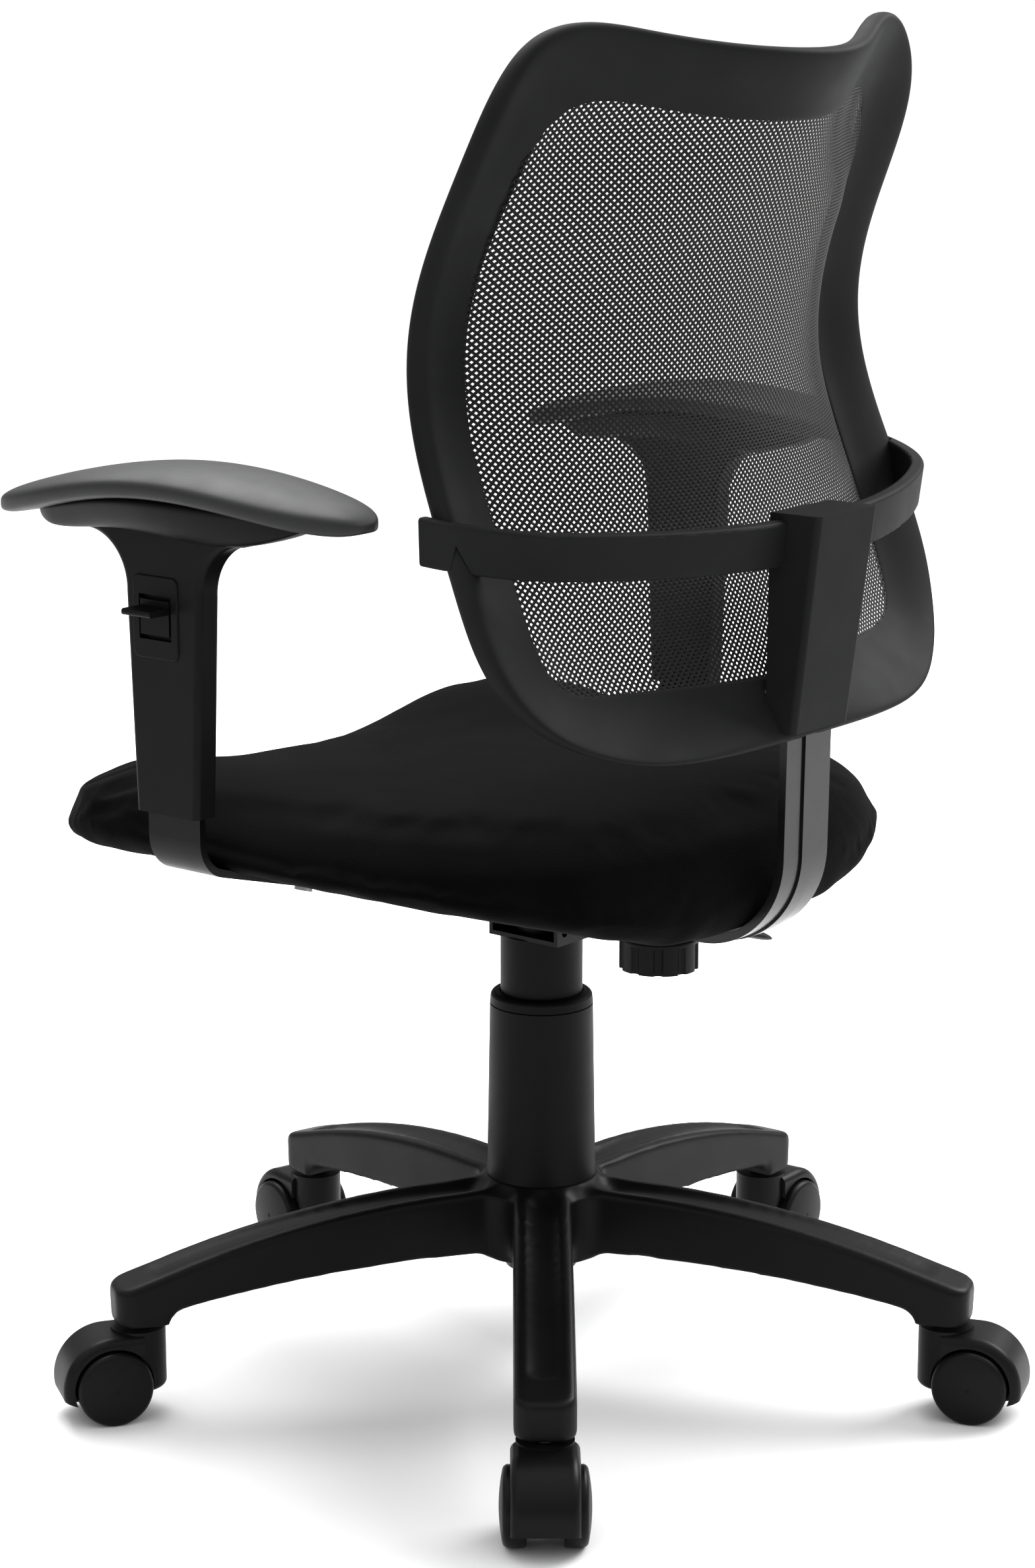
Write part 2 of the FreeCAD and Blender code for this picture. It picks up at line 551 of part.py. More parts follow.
def mech_plate():
    """Pressed steel seat plate: top plate, open-ended box round the column, guides and ears."""
    body = new_body("seat_plate")
    box(body, ("-plate_half", "-plate_front", "plate_bottom"),
        ("plate_half", "plate_rear", "board_bottom"))
    rounded(body, "14", lambda e: spread(e, "z") > 2)
    box(body, ("-box_half", "-box_front", "box_bottom"), ("box_half", "box_rear", "box_bottom + steel"))
    box(body, ("-box_half", "-box_front", "box_top - steel"), ("box_half", "box_rear", "box_top"))
    box(body, ("-box_half", "-box_front", "box_bottom"), ("box_half", "-box_front + steel", "box_top"))
    box(body, ("-box_half", "box_rear - steel", "box_bottom"), ("box_half", "box_rear", "box_top"))
    cylinder(body, "18.5", "box_top - box_bottom", ("0", "0", "box_bottom"))
    guide = "bar_width / 2 + slide_gap"
    for sign in ("", "-"):
        near, far = f"{sign}({guide})", f"{sign}({guide} + steel)"
        low, high = (near, far) if not sign else (far, near)
        box(body, (low, "box_rear - 10", "box_top - steel"), (high, "box_rear + 30", "plate_bottom + 1"))
        box(body, (low, "-55", "box_top - steel"), (high, "-box_front + 4", "plate_bottom + 1"))
    box(body, ("-24", "-55", "box_top - steel"), ("24", "-52", "plate_bottom + 1"))
    box(body, ("-28", "-55", "box_top - steel"), ("28", "-box_front", "box_top"))
    cylinder(body, "cylinder_radius", "40", ("0", "0", "box_bottom - 5"), cut=True)
    cylinder(body, "4", "20", ("0", "knob_y", "plate_bottom - 5"), cut=True)
    for point in mech_bolt_points():
        cylinder(body, "3.3", "20", (str(point.x), str(point.y), "plate_bottom - 5"), cut=True)
    cylinder(body, "3", "12", ("box_half - 8", "box_rear + 4", "box_top - 6.5"),
             Vector(0, -1, 0), cut=True)
    turn = math.radians(value("lever_turn"))
    along, across = Vector(math.cos(turn), math.sin(turn), 0), Vector(-math.sin(turn), math.cos(turn), 0)
    pivot = along * value("lever_pivot") + UP * value("lever_height")
    for sign in (-1, 1):
        ear = body.newObject("PartDesign::AdditiveBox", f"lever_ear_{'left' if sign > 0 else 'right'}")
        ear.Length, ear.Width = 12, 2.5
        bind(ear, Height="plate_bottom + 1 - lever_height + 5")
        corner = pivot - along * 6 + across * (sign * 6.25 - 1.25) - UP * 5
        ear.Placement = Placement(corner, Rotation(UP, value("lever_turn")))
    cylinder(body, "2.56", "30", tuple(str(n) for n in pivot - across * 15), across, cut=True)
    return body


def height_lever():
    """Steel rod from the valve pin, over its cross pin, out and down to a thin paddle."""
    height, radius, pivot = (value(n) for n in ("lever_height", "lever_radius", "lever_pivot"))
    bend, reach, drop = Vector(60, 0, height), 150, 42
    inner = Part.makeCylinder(radius, bend.x + 1, Vector(-1, 0, height), ALONG_X)
    slope = Vector(reach - bend.x, 0, -drop)
    outer = Part.makeCylinder(radius, slope.Length, bend, slope)
    knee = Part.makeSphere(radius, bend)
    cross = Part.makeCylinder(2.5, 15.4, Vector(pivot, -7.7, height), ALONG_Y)
    rod = inner.fuse([outer, knee, cross]).removeSplitter()
    solid_feature("lever_rod", lever_frame(rod))
    start = bend + slope
    outlines = []
    for part, half_width, half_height in ((0.0, 6.5, 6), (0.25, 9, 6), (0.6, 17, 4.5), (0.9, 15, 3.2),
                                          (1.0, 8, 1.6)):
        centre = start + Vector(-16 + 72 * part, 0, 7.5 - 26 * part)
        ellipse = Part.Ellipse(centre, half_width, half_height)
        ellipse.Axis, ellipse.XAxis = Vector(1, 0, 0), Vector(0, 1, 0)
        outlines.append(Part.Wire(ellipse.toShape()))
    paddle = Part.makeLoft(outlines, True).cut(outer)
    solid_feature("lever_paddle", lever_frame(paddle))


# ---------------------------------------------------------------- bar and knob
def lean_direction():
    lean = math.radians(value("bar_lean"))
    return Vector(0, math.sin(lean), math.cos(lean))


def bar_section(inwards, start_y, rise):
    """The bar's line in the YZ plane, moved inwards: forward run, bend, then the leaning upright."""
    lean, radius = math.radians(value("bar_lean")), value("bar_bend")
    upright = lean_direction()
    centre = Vector(0, value("bar_back") - radius, value("bar_bottom") + radius)
    bend = radius - inwards
    bottom = centre + Vector(0, 0, -bend)
    end = centre + Vector(0, bend * math.cos(lean), -bend * math.sin(lean))
    half = (lean - math.pi / 2) / 2
    halfway = centre + Vector(0, bend * math.cos(half - lean), bend * math.sin(half - lean))
    top = end + upright * ((rise - end.z) / upright.z)
    return Vector(0, start_y, bottom.z), bottom, halfway, end, top


def back_bar():
    """Flat steel bar with a raised rib, slotted for the clamp's stud."""
    thickness, width = value("bar_thickness"), value("bar_width")
    faces = []
    for inwards, depth, half, rise in ((1.5, thickness - 1.5, width / 2, 0), (0, 2, 6, -120)):
        outer = bar_section(inwards, value("bar_front"), value("bar_rise") + rise)
        inner = bar_section(inwards + depth, value("bar_front"), value("bar_rise") + rise)
        edges = [Part.makeLine(outer[0], outer[1]), Part.Arc(outer[1], outer[2], outer[3]).toShape(),
                 Part.makeLine(outer[3], outer[4]), Part.makeLine(outer[4], inner[4]),
                 Part.makeLine(inner[4], inner[3]), Part.Arc(inner[3], inner[2], inner[1]).toShape(),
                 Part.makeLine(inner[1], inner[0]), Part.makeLine(inner[0], outer[0])]
        band = Part.Face(Part.Wire(edges))
        band.translate(Vector(-half, 0, 0))
        faces.append(band.extrude(Vector(2 * half, 0, 0)))
    bar = faces[0].fuse(faces[1])
    knob_y, low = value("knob_y"), value("bar_bottom") - 5
    ends = (knob_y - 37, knob_y + 5)
    slot = Part.makeBox(9, ends[1] - ends[0], 30, Vector(-4.5, ends[0], low))
    for end in ends:
        slot = slot.fuse(Part.makeCylinder(4.5, 30, Vector(0, end, low)))
    solid_feature("back_bar", bar.cut(slot).removeSplitter())


def clamp_knob():
    """Ribbed knob on a threaded stud that clamps the bar against the seat plate."""
    radius, low, high = value("knob_radius"), value("knob_bottom"), value("knob_top")
    knob = Part.makeCylinder(radius, high - low, Vector(0, 0, low))
    knob = knob.makeFillet(2.5, [knob.Edges[0]])
    skirt = Part.makeCylinder(radius - 3, 6, Vector(0, 0, low))
    knob = knob.cut(skirt)
    lobes = 10
    for index in range(lobes):
        notch = Part.makeCylinder(3.6, high - low - 3, Vector(radius + 1.6, 0, low - 1))
        notch.rotate(ORIGIN, UP, 360 / lobes * index)
        knob = knob.cut(notch)
    neck = Part.makeCone(radius - 7, 12, value("bar_bottom") - 0.5 - high, Vector(0, 0, high))
    bore = Part.makeCylinder(3.8, 60, Vector(0, 0, low + 8))
    knob = knob.fuse(neck).cut(bore).removeSplitter()
    place(solid_feature("clamp_knob", knob), y="knob_y")
    stud = Part.makeCylinder(3.8, value("board_bottom") - low - 8, Vector(0, 0, low + 8))
    place(solid_feature("knob_stud", stud), y="knob_y")


# ---------------------------------------------------------------- back
# Heights and the depth of the back's rear face at its side rails and on its middle line.
BACK_PROFILE = [(440, 203, 226), (476, 190, 216), (511, 165, 203), (545, 149, 189), (580, 135, 178),
                (615, 120, 171), (650, 106, 168), (690, 95, 168), (725, 94, 172), (765, 103, 181),
                (805, 119, 193), (840, 134, 206), (875, 146, 218), (915, 153, 226)]
RAIL_LINE = 200


def back_depth(x, side, centre):
    """Depth of the back's rear face: deepest in the middle and level across the side rails."""
    share = math.sin(math.pi / 2 * min(abs(x) / RAIL_LINE, 1)) ** 2
    return centre - (centre - side) * share


def back_slab(front_offset, thickness, half=262, columns=21):
    """A solid slice of the back's curved form, front_offset in front of its rear face."""
    rows = []
    for height, side, centre in BACK_PROFILE:
        xs = [half * (2 * i / (columns - 1) - 1) for i in range(columns)]
        rows.append([Vector(x, back_depth(x, side, centre) - front_offset, height) for x in xs])
    surface = Part.BSplineSurface()
    surface.interpolate(rows)
    return surface.toShape().extrude(Vector(0, -thickness, 0))


def front_prism(points, y_low=20, y_high=320):
    """A closed outline of (x, z) points, extruded from front to back."""
    face = smooth_face([Vector(x, y_low, z) for x, z in points])
    return face.extrude(Vector(0, y_high - y_low, 0))


def back_outer():
    """Outer edge of the frame: a dip between two soft horns, widest low down."""
    return mirrored_x([(0, 891), (60, 894), (112, 902), (152, 908), (186, 900), (210, 873), (221, 835),
                       (226, 775), (229, 705), (233, 640), (236, 585), (233, 538), (211, 499),
                       (164, 475), (95, 467), (0, 467)])


def back_inner():
    """Edge of the frame's opening."""
    return mirrored_x([(0, 847), (60, 850), (106, 858), (140, 861), (162, 848), (172, 812), (178, 762),
                       (182, 702), (186, 642), (186, 596), (185, 562), (183, 538), (175, 519),
                       (154, 511), (108, 509), (0, 507)])


def spine_block():
    """The sleeve's outer form: narrower at the bottom, its rear face leaning back."""
    top, bottom = value("spine_top"), value("spine_bottom")
    sections = []
    for height, half, front, rear in ((bottom, value("spine_bottom_half"), 201, 222.5),
                                      (top, value("spine_top_half"), 204, 240.5)):
        corners = [Vector(x, y, height) for x, y in
                   ((-half, front), (half, front), (half, rear), (-half, rear), (-half, front))]
        sections.append(Part.makePolygon(corners))
    return Part.makeLoft(sections, True, True)


def back_spine():
    """Sleeve that slides on the bar's upright."""
    block = spine_block()
    rear = [e for e in block.Edges if spread(e, "z") > 100 and middle(e).y > 225]
    block = block.makeFillet(4, rear)
    gap, half = value("slide_gap"), value("bar_width / 2 + slide_gap")
    upright = lean_direction()
    _, _, _, end, top = bar_section(0, 0, value("bar_rise") + 5)
    outwards = Vector(0, upright.z, -upright.y)
    thickness = value("bar_thickness") + 2 * gap
    corners = [end + outwards * gap, top + outwards * gap, top + outwards * (gap - thickness),
               end + outwards * (gap - thickness), end + outwards * gap]
    slot = Part.Face(Part.makePolygon(corners))
    slot.translate(Vector(-half, 0, 0))
    block = block.cut(slot.extrude(Vector(2 * half, 0, 0)))
    solid_feature("back_spine", block.cut(back_screws()))


def back_screws():
    """Four screws that hold the bottom rail to the spine's side walls."""
    shapes = []
    for x in (-27.4, 27.4):
        for z, front in ((484, 194), (498, 189.5)):
            shapes.append(bolt(Vector(x, front, z), 1.5, 17, 3.2, 2, ALONG_Y))
    return shapes


def back_frame():
    """Moulded frame, let into the spine and notched round the bar below it."""
    thickness, width = value("back_thickness"), value("bar_width") + 3
    frame = back_slab(0, thickness).common(front_prism(back_outer())).cut(front_prism(back_inner()))
    notch = Part.makeBox(width, 40, 40, Vector(-width / 2, value("bar_back - bar_thickness") - 1.5,
                                               value("spine_bottom") - 38))
    frame = frame.cut(spine_block()).cut(notch).cut(back_screws())
    frame = max(frame.Solids, key=lambda part: part.Volume)
    solid_feature("back_frame", frame)
    group("back_screws", *back_screws())
    return frame


def back_mesh():
    """The mesh, taken as one thin sheet that fills the frame's opening."""
    thickness = value("mesh_thickness")
    sheet_form = back_slab(value("back_thickness") / 2 - thickness / 2, thickness)
    solid_feature("back_mesh", sheet_form.common(front_prism(back_inner())))


def back_bow(frame):
    """Two arms of a curved bar from the side rails to the spine, bent round behind the back."""
    reach, radius, side_radius = (value(n) for n in ("bow_reach", "bow_radius", "bow_side_radius"))
    angle, thick = math.radians(value("bow_angle")), value("bow_thickness")
    centre = Vector(0, reach - radius, 0)
    turn_centre = centre + Vector(math.sin(angle), math.cos(angle), 0) * (radius - side_radius)

    def arc(middle_point, size, start, end):
        points = [middle_point + Vector(math.sin(a), math.cos(a), 0) * size
                  for a in (start, (start + end) / 2, end)]
        return Part.Arc(*points).toShape()

    start = math.asin((value("spine_bottom_half") - 1) / radius)
    edges = []
    for inset in (0, thick):
        edges.append([arc(centre, radius - inset, start, angle),
                      arc(turn_centre, side_radius - inset, angle, math.radians(90))])
    outer, inner = edges
    ends = [outer[1].valueAt(outer[1].LastParameter), inner[1].valueAt(inner[1].LastParameter)]
    starts = [outer[0].valueAt(outer[0].FirstParameter), inner[0].valueAt(inner[0].FirstParameter)]
    wire = Part.Wire(Part.__sortEdges__(outer + inner + [Part.makeLine(*ends), Part.makeLine(*starts)]))
    arm = Part.Face(wire).extrude(Vector(0, 0, value("bow_height")))
    arm.translate(Vector(0, 0, value("bow_middle - bow_height / 2")))
    arm = arm.makeFillet(2.5, [e for e in arm.Edges if spread(e, "z") < 0.1 and e.Length > 60])
    arm.rotate(Vector(0, value("bow_end + 9"), value("bow_middle")), ALONG_X, -value("bow_tilt"))
    ahead = Part.makeBox(600, 200, 200, Vector(-300, value("bow_end") - 200, 500))
    arm = max(arm.cut([spine_block(), frame, ahead]).Solids, key=lambda part: part.Volume)
    group("back_bow", arm, arm.mirror(ORIGIN, ALONG_X))


# ---------------------------------------------------------------- arms
def arm_bracket(side):
    """Flat steel: a run under the dished seat, a tight bend and the upright inside the sleeve."""
    body = new_body("arm_bracket_left" if side > 0 else "arm_bracket_right")
    slope, thick, bend = "dish_slope", "bracket_thickness", "bracket_bend"
    out = f"(arm_x + {thick} / 2)"
    root = (f"(board_bottom + (bracket_inner_end - dish_flat) * tan({slope})"
            f" - {thick} / cos({slope}))")
    centre = f"({out} - {bend})"
    low = (f"({root} + ({centre} - bracket_inner_end) * tan({slope}) + {bend} / cos({slope}))")
    section = sketch_on(body)
    outline(section,
            [("bracket_inner_end", root),
             (f"{centre} + {bend} * sin({slope})", f"{low} - {bend} * cos({slope})"),
             (out, low), (out, "bracket_top"), (f"{out} - {thick}", "bracket_top"),
             (f"{out} - {thick}", low),
             (f"{centre} + ({bend} - {thick}) * sin({slope})",
              f"{low} - ({bend} - {thick}) * cos({slope})"),
             (f"bracket_inner_end - {thick} * sin({slope})", f"{root} + {thick} * cos({slope})")],
            arcs={1: f"-{bend}", 5: f"{bend} - {thick}"})
    extrude(body, section, "bracket_width", symmetric=True)
    for point in bracket_bolt_points(1):
        start = (f"{point.x} + 30 * sin({slope})", "0",
                 f"board_bottom + board_thickness + ({point.x} - dish_flat) * tan({slope})"
                 f" - 30 * cos({slope})")
        cylinder(body, "3.2", "30", start, board_normal(point.x), cut=True)
    place(body, y="arm_y", turn="0" if side > 0 else "180")
    return body


def sleeve_post(width, foot, thick, low, high):
    """The sleeve's outer form: a post that widens upwards and flares into a T."""
    flare, lip, shoulder = 34, 4, high - 40
    half, top = width / 2, high - lip
    sag = Vector(0, flare * 0.32, 26.5)
    left, right = Vector(0, -half, shoulder), Vector(0, half, shoulder)
    left_tip, right_tip = Vector(0, -half - flare, top), Vector(0, half + flare, top)
    corners = [right_tip, right_tip + UP * lip, left_tip + UP * lip, left_tip]
    edges = [Part.makeLine(Vector(0, -foot / 2, low), Vector(0, foot / 2, low)),
             Part.makeLine(Vector(0, foot / 2, low), right),
             Part.Arc(right, right + sag, right_tip).toShape()]
    edges += [Part.makeLine(first, second) for first, second in zip(corners, corners[1:])]
    edges += [Part.Arc(left_tip, left + Vector(0, -sag.y, sag.z), left).toShape(),
              Part.makeLine(left, Vector(0, -foot / 2, low))]
    face = Part.Face(Part.Wire(edges))
    face.translate(Vector(-thick / 2, 0, 0))
    post = face.extrude(Vector(thick, 0, 0))
    return post.makeFillet(4, [e for e in post.Edges if spread(e, "z") > 25 and spread(e, "x") < 0.1])


def arm_sleeve(side):
    """Moulded post that slides on the bracket, its lock cover let into the outer face, and the
    lever that frees the lock."""
    name = "left" if side > 0 else "right"
    thick, low, high = (value(f"sleeve_{n}") for n in ("thickness", "bottom", "top"))
    post = sleeve_post(value("sleeve_width"), value("sleeve_foot"), thick, low, high)
    gap = value("slide_gap")
    half_width, half_depth = value("bracket_width") / 2 + gap, value("bracket_thickness") / 2 + gap
    slot_height = value("bracket_top") - low + 3
    post = post.cut(Part.makeBox(2 * half_depth, 2 * half_width, slot_height,
                                 Vector(-half_depth, -half_width, low - 1)))
    face = thick / 2
    cover_low = Vector(face - 3, -24, high - 80)
    pocket = Part.makeBox(4, 38, 52, cover_low)
    pocket = pocket.makeFillet(5, [e for e in pocket.Edges if spread(e, "x") > 3])
    post = post.cut(pocket)
    cover = pocket.makeFillet(1, [e for e in pocket.Edges if middle(e).x > face + 0.9])
    cover = cover.cut(Part.makeBox(10, 27, 28, Vector(face - 5, -18.5, high - 68)))
    hinge = Vector(face - 0.8, -20.75, high - 44)
    cover = cover.cut(Part.makeCylinder(1.25, 32, hinge - ALONG_Y * 0.25, ALONG_Y))
    plate = Part.makeBox(3, 24, 22, Vector(face - 1.6, -17, high - 65))
    lip = Part.makeBox(18, 24, 4, Vector(face, -17, high - 51))
    lip = lip.makeFillet(1.8, [e for e in lip.Edges if spread(e, "y") > 20 and middle(e).x > face + 10])
    tab = plate.fuse([lip, Part.makeCylinder(1.2, 31.5, hinge, ALONG_Y)]).removeSplitter()
    for label, shape in (("arm_sleeve", post), ("arm_lock_cover", cover), ("arm_tab", tab)):
        if side < 0:
            shape = shape.mirror(ORIGIN, ALONG_X)
        place(solid_feature(f"{label}_{name}", shape), x=side * value("arm_x"), y="arm_y")


def smooth_line(points):
    """A curve through (y, z) points, in a plane left of the pad."""
    curve = Part.BSplineCurve()
    curve.interpolate([Vector(-60, y, z) for y, z in points])
    return curve.toShape()


def boat(points, lower, upper):
    """A solid with the outline points seen from above, between two lines seen from the side."""
    ends = [(lower.Vertexes[i].Point, upper.Vertexes[i].Point) for i in (0, -1)]
    profile = Part.Face(Part.Wire(Part.__sortEdges__(
        lower.Edges + upper.Edges + [Part.makeLine(*pair) for pair in ends])))
    plan = smooth_face([Vector(x, y, 500) for x, y in mirrored_x(points)])
    return plan.extrude(Vector(0, 0, 200)).common(profile.extrude(Vector(120, 0, 0)))


def arm_pad(side):
    """Soft crowned pad on a hull-shaped carrier that stands on the sleeve's T."""
    name = "left" if side > 0 else "right"
    half, wide, base = value("pad_length") / 2, value("pad_width") / 2, value("sleeve_top")
    front, rear = -half - 4, half + 4
    underside = smooth_line([(front, base - 2), (-0.8 * half, base + 2), (-0.55 * half, base + 11),
                             (0, base + 23), (0.35 * half, base + 22), (0.75 * half, base + 15),
                             (rear, base + 8)])
    crown = smooth_line([(front, base + 9), (-0.78 * half, base + 22), (-0.48 * half, base + 34),
                         (0, base + 43), (0.38 * half, base + 41), (0.66 * half, base + 35),
                         (rear, base + 20)])
    keel = Part.makePolygon([Vector(-60, front, base - 3), Vector(-60, -0.8 * half, base),
                             Vector(-60, 0.36 * half, base), Vector(-60, rear, base + 4)])
    pad = boat([(0, -half), (0.55 * wide, -0.86 * half), (0.88 * wide, -0.52 * half), (wide, 0),
                (0.93 * wide, 0.48 * half), (0.62 * wide, 0.86 * half), (0, half)], underside, crown)
    carrier = boat([(0, -0.78 * half), (0.45 * wide, -0.68 * half), (0.7 * wide, -0.4 * half),
                    (0.78 * wide, 0), (0.7 * wide, 0.38 * half), (0.42 * wide, 0.62 * half),
                    (0, 0.74 * half)], keel, underside)
    for label, shape in (("arm_pad", pad), ("arm_pad_carrier", carrier)):
        place(solid_feature(f"{label}_{name}", shape), x=side * value("arm_x"), y="pad_middle")


star_base()
caster_stems()
casters()
gas_column()
mech_plate()
seat_pieces()
height_lever()
back_bar()
clamp_knob()
back_spine()
back_bow(back_frame())
back_mesh()
for arm_side in (1, -1):
    arm_bracket(arm_side)
    arm_sleeve(arm_side)
    arm_pad(arm_side)

# ---------------------------------------------------------------- check and write
doc.recompute()
failed = [item.Label for item in doc.Objects if {"Invalid", "Error"} & set(item.State)]
failed += [item.Label for item in exported if item.Shape.isNull() or not item.Shape.isValid()]
if failed:
    raise SystemExit("These objects failed: " + ", ".join(failed))
os.makedirs("parts", exist_ok=True)
for item in exported:
    item.Shape.exportStep(f"parts/{item.Label}.step")
    print(f"{item.Label:24s} {len(item.Shape.Solids)} solids {item.Shape.Volume / 1000:9.1f} cm3")
print(len(exported), "nodes")
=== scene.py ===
import json
import math

import bpy
import numpy as np
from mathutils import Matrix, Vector, noise
from mathutils.bvhtree import BVHTree


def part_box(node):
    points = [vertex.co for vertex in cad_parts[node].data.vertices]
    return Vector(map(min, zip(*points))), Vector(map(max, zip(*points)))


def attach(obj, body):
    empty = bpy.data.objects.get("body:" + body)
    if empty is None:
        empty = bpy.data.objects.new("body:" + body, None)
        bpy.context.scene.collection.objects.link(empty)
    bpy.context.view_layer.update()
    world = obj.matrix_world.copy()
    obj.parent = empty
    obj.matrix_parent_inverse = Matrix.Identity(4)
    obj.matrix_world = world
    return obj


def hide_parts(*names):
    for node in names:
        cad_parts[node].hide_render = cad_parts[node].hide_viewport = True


# Task chair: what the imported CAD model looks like. Metres, in the CAD model's own frame: the chair
# faces -Y, +X is the sitter's left and +Z is up.

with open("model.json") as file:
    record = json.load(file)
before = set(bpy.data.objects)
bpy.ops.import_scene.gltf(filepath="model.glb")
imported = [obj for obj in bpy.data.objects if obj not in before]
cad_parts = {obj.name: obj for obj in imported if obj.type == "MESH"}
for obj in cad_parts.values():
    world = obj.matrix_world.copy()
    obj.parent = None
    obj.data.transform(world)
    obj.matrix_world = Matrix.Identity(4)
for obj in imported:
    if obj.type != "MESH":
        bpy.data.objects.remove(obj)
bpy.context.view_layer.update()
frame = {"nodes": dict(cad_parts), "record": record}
nodes = frame["nodes"]
MM = 0.001


# ---------------------------------------------------------------- meshes
def add_object(name, data):
    """A new object in the scene, for a mesh, a light or a camera."""
    thing = bpy.data.objects.new(name, data)
    bpy.context.scene.collection.objects.link(thing)
    return thing


def add_piece(name, points, faces):
    """A smooth-shaded mesh object made of points and faces."""
    mesh = bpy.data.meshes.new(name)
    mesh.from_pydata([tuple(p) for p in points], [], [tuple(f) for f in faces])
    mesh.update()
    mesh.shade_smooth()
    return add_object(name, mesh)


def apply_modifiers(piece):
    """Turns the piece into the mesh that its modifiers make."""
    evaluated = piece.evaluated_get(bpy.context.evaluated_depsgraph_get())
    mesh = bpy.data.meshes.new_from_object(evaluated)
    piece.modifiers.clear()
    piece.data = mesh
    mesh.shade_smooth()
    return piece


def remesh(piece, size):
    """Rebuilds the piece's surface from even voxels."""
    modifier = piece.modifiers.new("Remesh", "REMESH")
    modifier.mode = "VOXEL"
    modifier.voxel_size = size
    return apply_modifiers(piece)


def subdivide(piece):
    modifier = piece.modifiers.new("Subdivision", "SUBSURF")
    modifier.levels = 1
    modifier.render_levels = 1


def relax(piece, repeats):
    """Evens the surface out by moving each point towards its neighbours."""
    modifier = piece.modifiers.new("Smooth", "SMOOTH")
    modifier.factor = 0.5
    modifier.iterations = repeats
    return apply_modifiers(piece)


def soften(node, width):
    """Rounds a CAD node's sharp edges and shades its curved faces smoothly."""
    piece = nodes[node]
    piece.data.shade_smooth()
    bevel = piece.modifiers.new("Bevel", "BEVEL")
    bevel.width = width
    bevel.segments = 2
    bevel.limit_method = "ANGLE"
    bevel.angle_limit = math.radians(32)
    bevel.harden_normals = True
    bevel.use_clamp_overlap = True


def coordinates(piece):
    co = np.zeros(len(piece.data.vertices) * 3)
    piece.data.vertices.foreach_get("co", co)
    return co.reshape(-1, 3)


def normals_of(piece):
    return np.array([vertex.normal for vertex in piece.data.vertices])


def set_coordinates(piece, co):
    piece.data.vertices.foreach_set("co", co.ravel())
    piece.data.update()


def swell(piece, distance):
    """Moves the whole surface outwards."""
    set_coordinates(piece, coordinates(piece) + normals_of(piece) * distance)


def fit_into(piece, low, high):
    """Stretches a piece along the axes until it fills a box."""
    co = coordinates(piece)
    least, most = co.min(0), co.max(0)
    low, high = np.array(low), np.array(high)
    set_coordinates(piece, low + (co - least) * (high - low) / (most - least))


def joined(name, *names):
    """One new object from copies of several CAD nodes' meshes."""
    points, faces = [], []
    for node in names:
        start = len(points)
        mesh = nodes[node].data
        points += [tuple(v.co) for v in mesh.vertices]
        faces += [tuple(start + i for i in p.vertices) for p in mesh.polygons]
    return add_piece(name, points, faces)


def smoothstep(low, high, x):
    t = np.clip((x - low) / (high - low), 0, 1)
    return t * t * (3 - 2 * t)


def closed_curve(points, count):
    """count points on a smooth closed curve through the given ones (a periodic cubic spline)."""
    points = np.array(points, float)
    n = len(points)
    step = np.linalg.norm(np.roll(points, -1, 0) - points, axis=1) ** 0.5
    system = np.zeros((n, n))
    right = np.zeros((n, 2))
    for i in range(n):
        before, after = step[i - 1], step[i]
        system[i, i - 1] += before
        system[i, i] += 2 * (before + after)
        system[i, (i + 1) % n] += after
        right[i] = 6 * ((points[(i + 1) % n] - points[i]) / after
                        - (points[i] - points[i - 1]) / before)
    bend = np.linalg.solve(system, right)
    knots = np.concatenate([[0], np.cumsum(step)])
    out = []
    for t in np.linspace(0, knots[-1], count, endpoint=False):
        i = min(int(np.searchsorted(knots, t, side="right")) - 1, n - 1)
        j, width = (i + 1) % n, step[i]
        a, b = (knots[i + 1] - t) / width, (t - knots[i]) / width
        out.append(a * points[i] + b * points[j]
                   + ((a ** 3 - a) * bend[i] + (b ** 3 - b) * bend[j]) * width ** 2 / 6)
    return np.array(out)


def mirrored(half):
    """A whole outline from its one half, which starts and ends on the middle line."""
    return half + [(-x, z) for x, z in half[-2:0:-1]]


def loft(name, rings):
    """A closed skin over rings of points that all have the same number of points."""
    count = len(rings[0])
    points = [p for ring in rings for p in ring]
    faces = []
    for i in range(len(rings) - 1):
        for j in range(count):
            k = (j + 1) % count
            faces.append((i * count + j, i * count + k, (i + 1) * count + k, (i + 1) * count + j))
    faces.append(tuple(reversed(range(count))))
    faces.append(tuple((len(rings) - 1) * count + j for j in range(count)))
    return add_piece(name, points, faces)


# ---------------------------------------------------------------- materials
EVEN = (1, 1, 1)
GREENISH = (0.97, 1.0, 0.99)
BLUISH = (1, 1, 1.03)
WARM = (1, 0.99, 0.96)


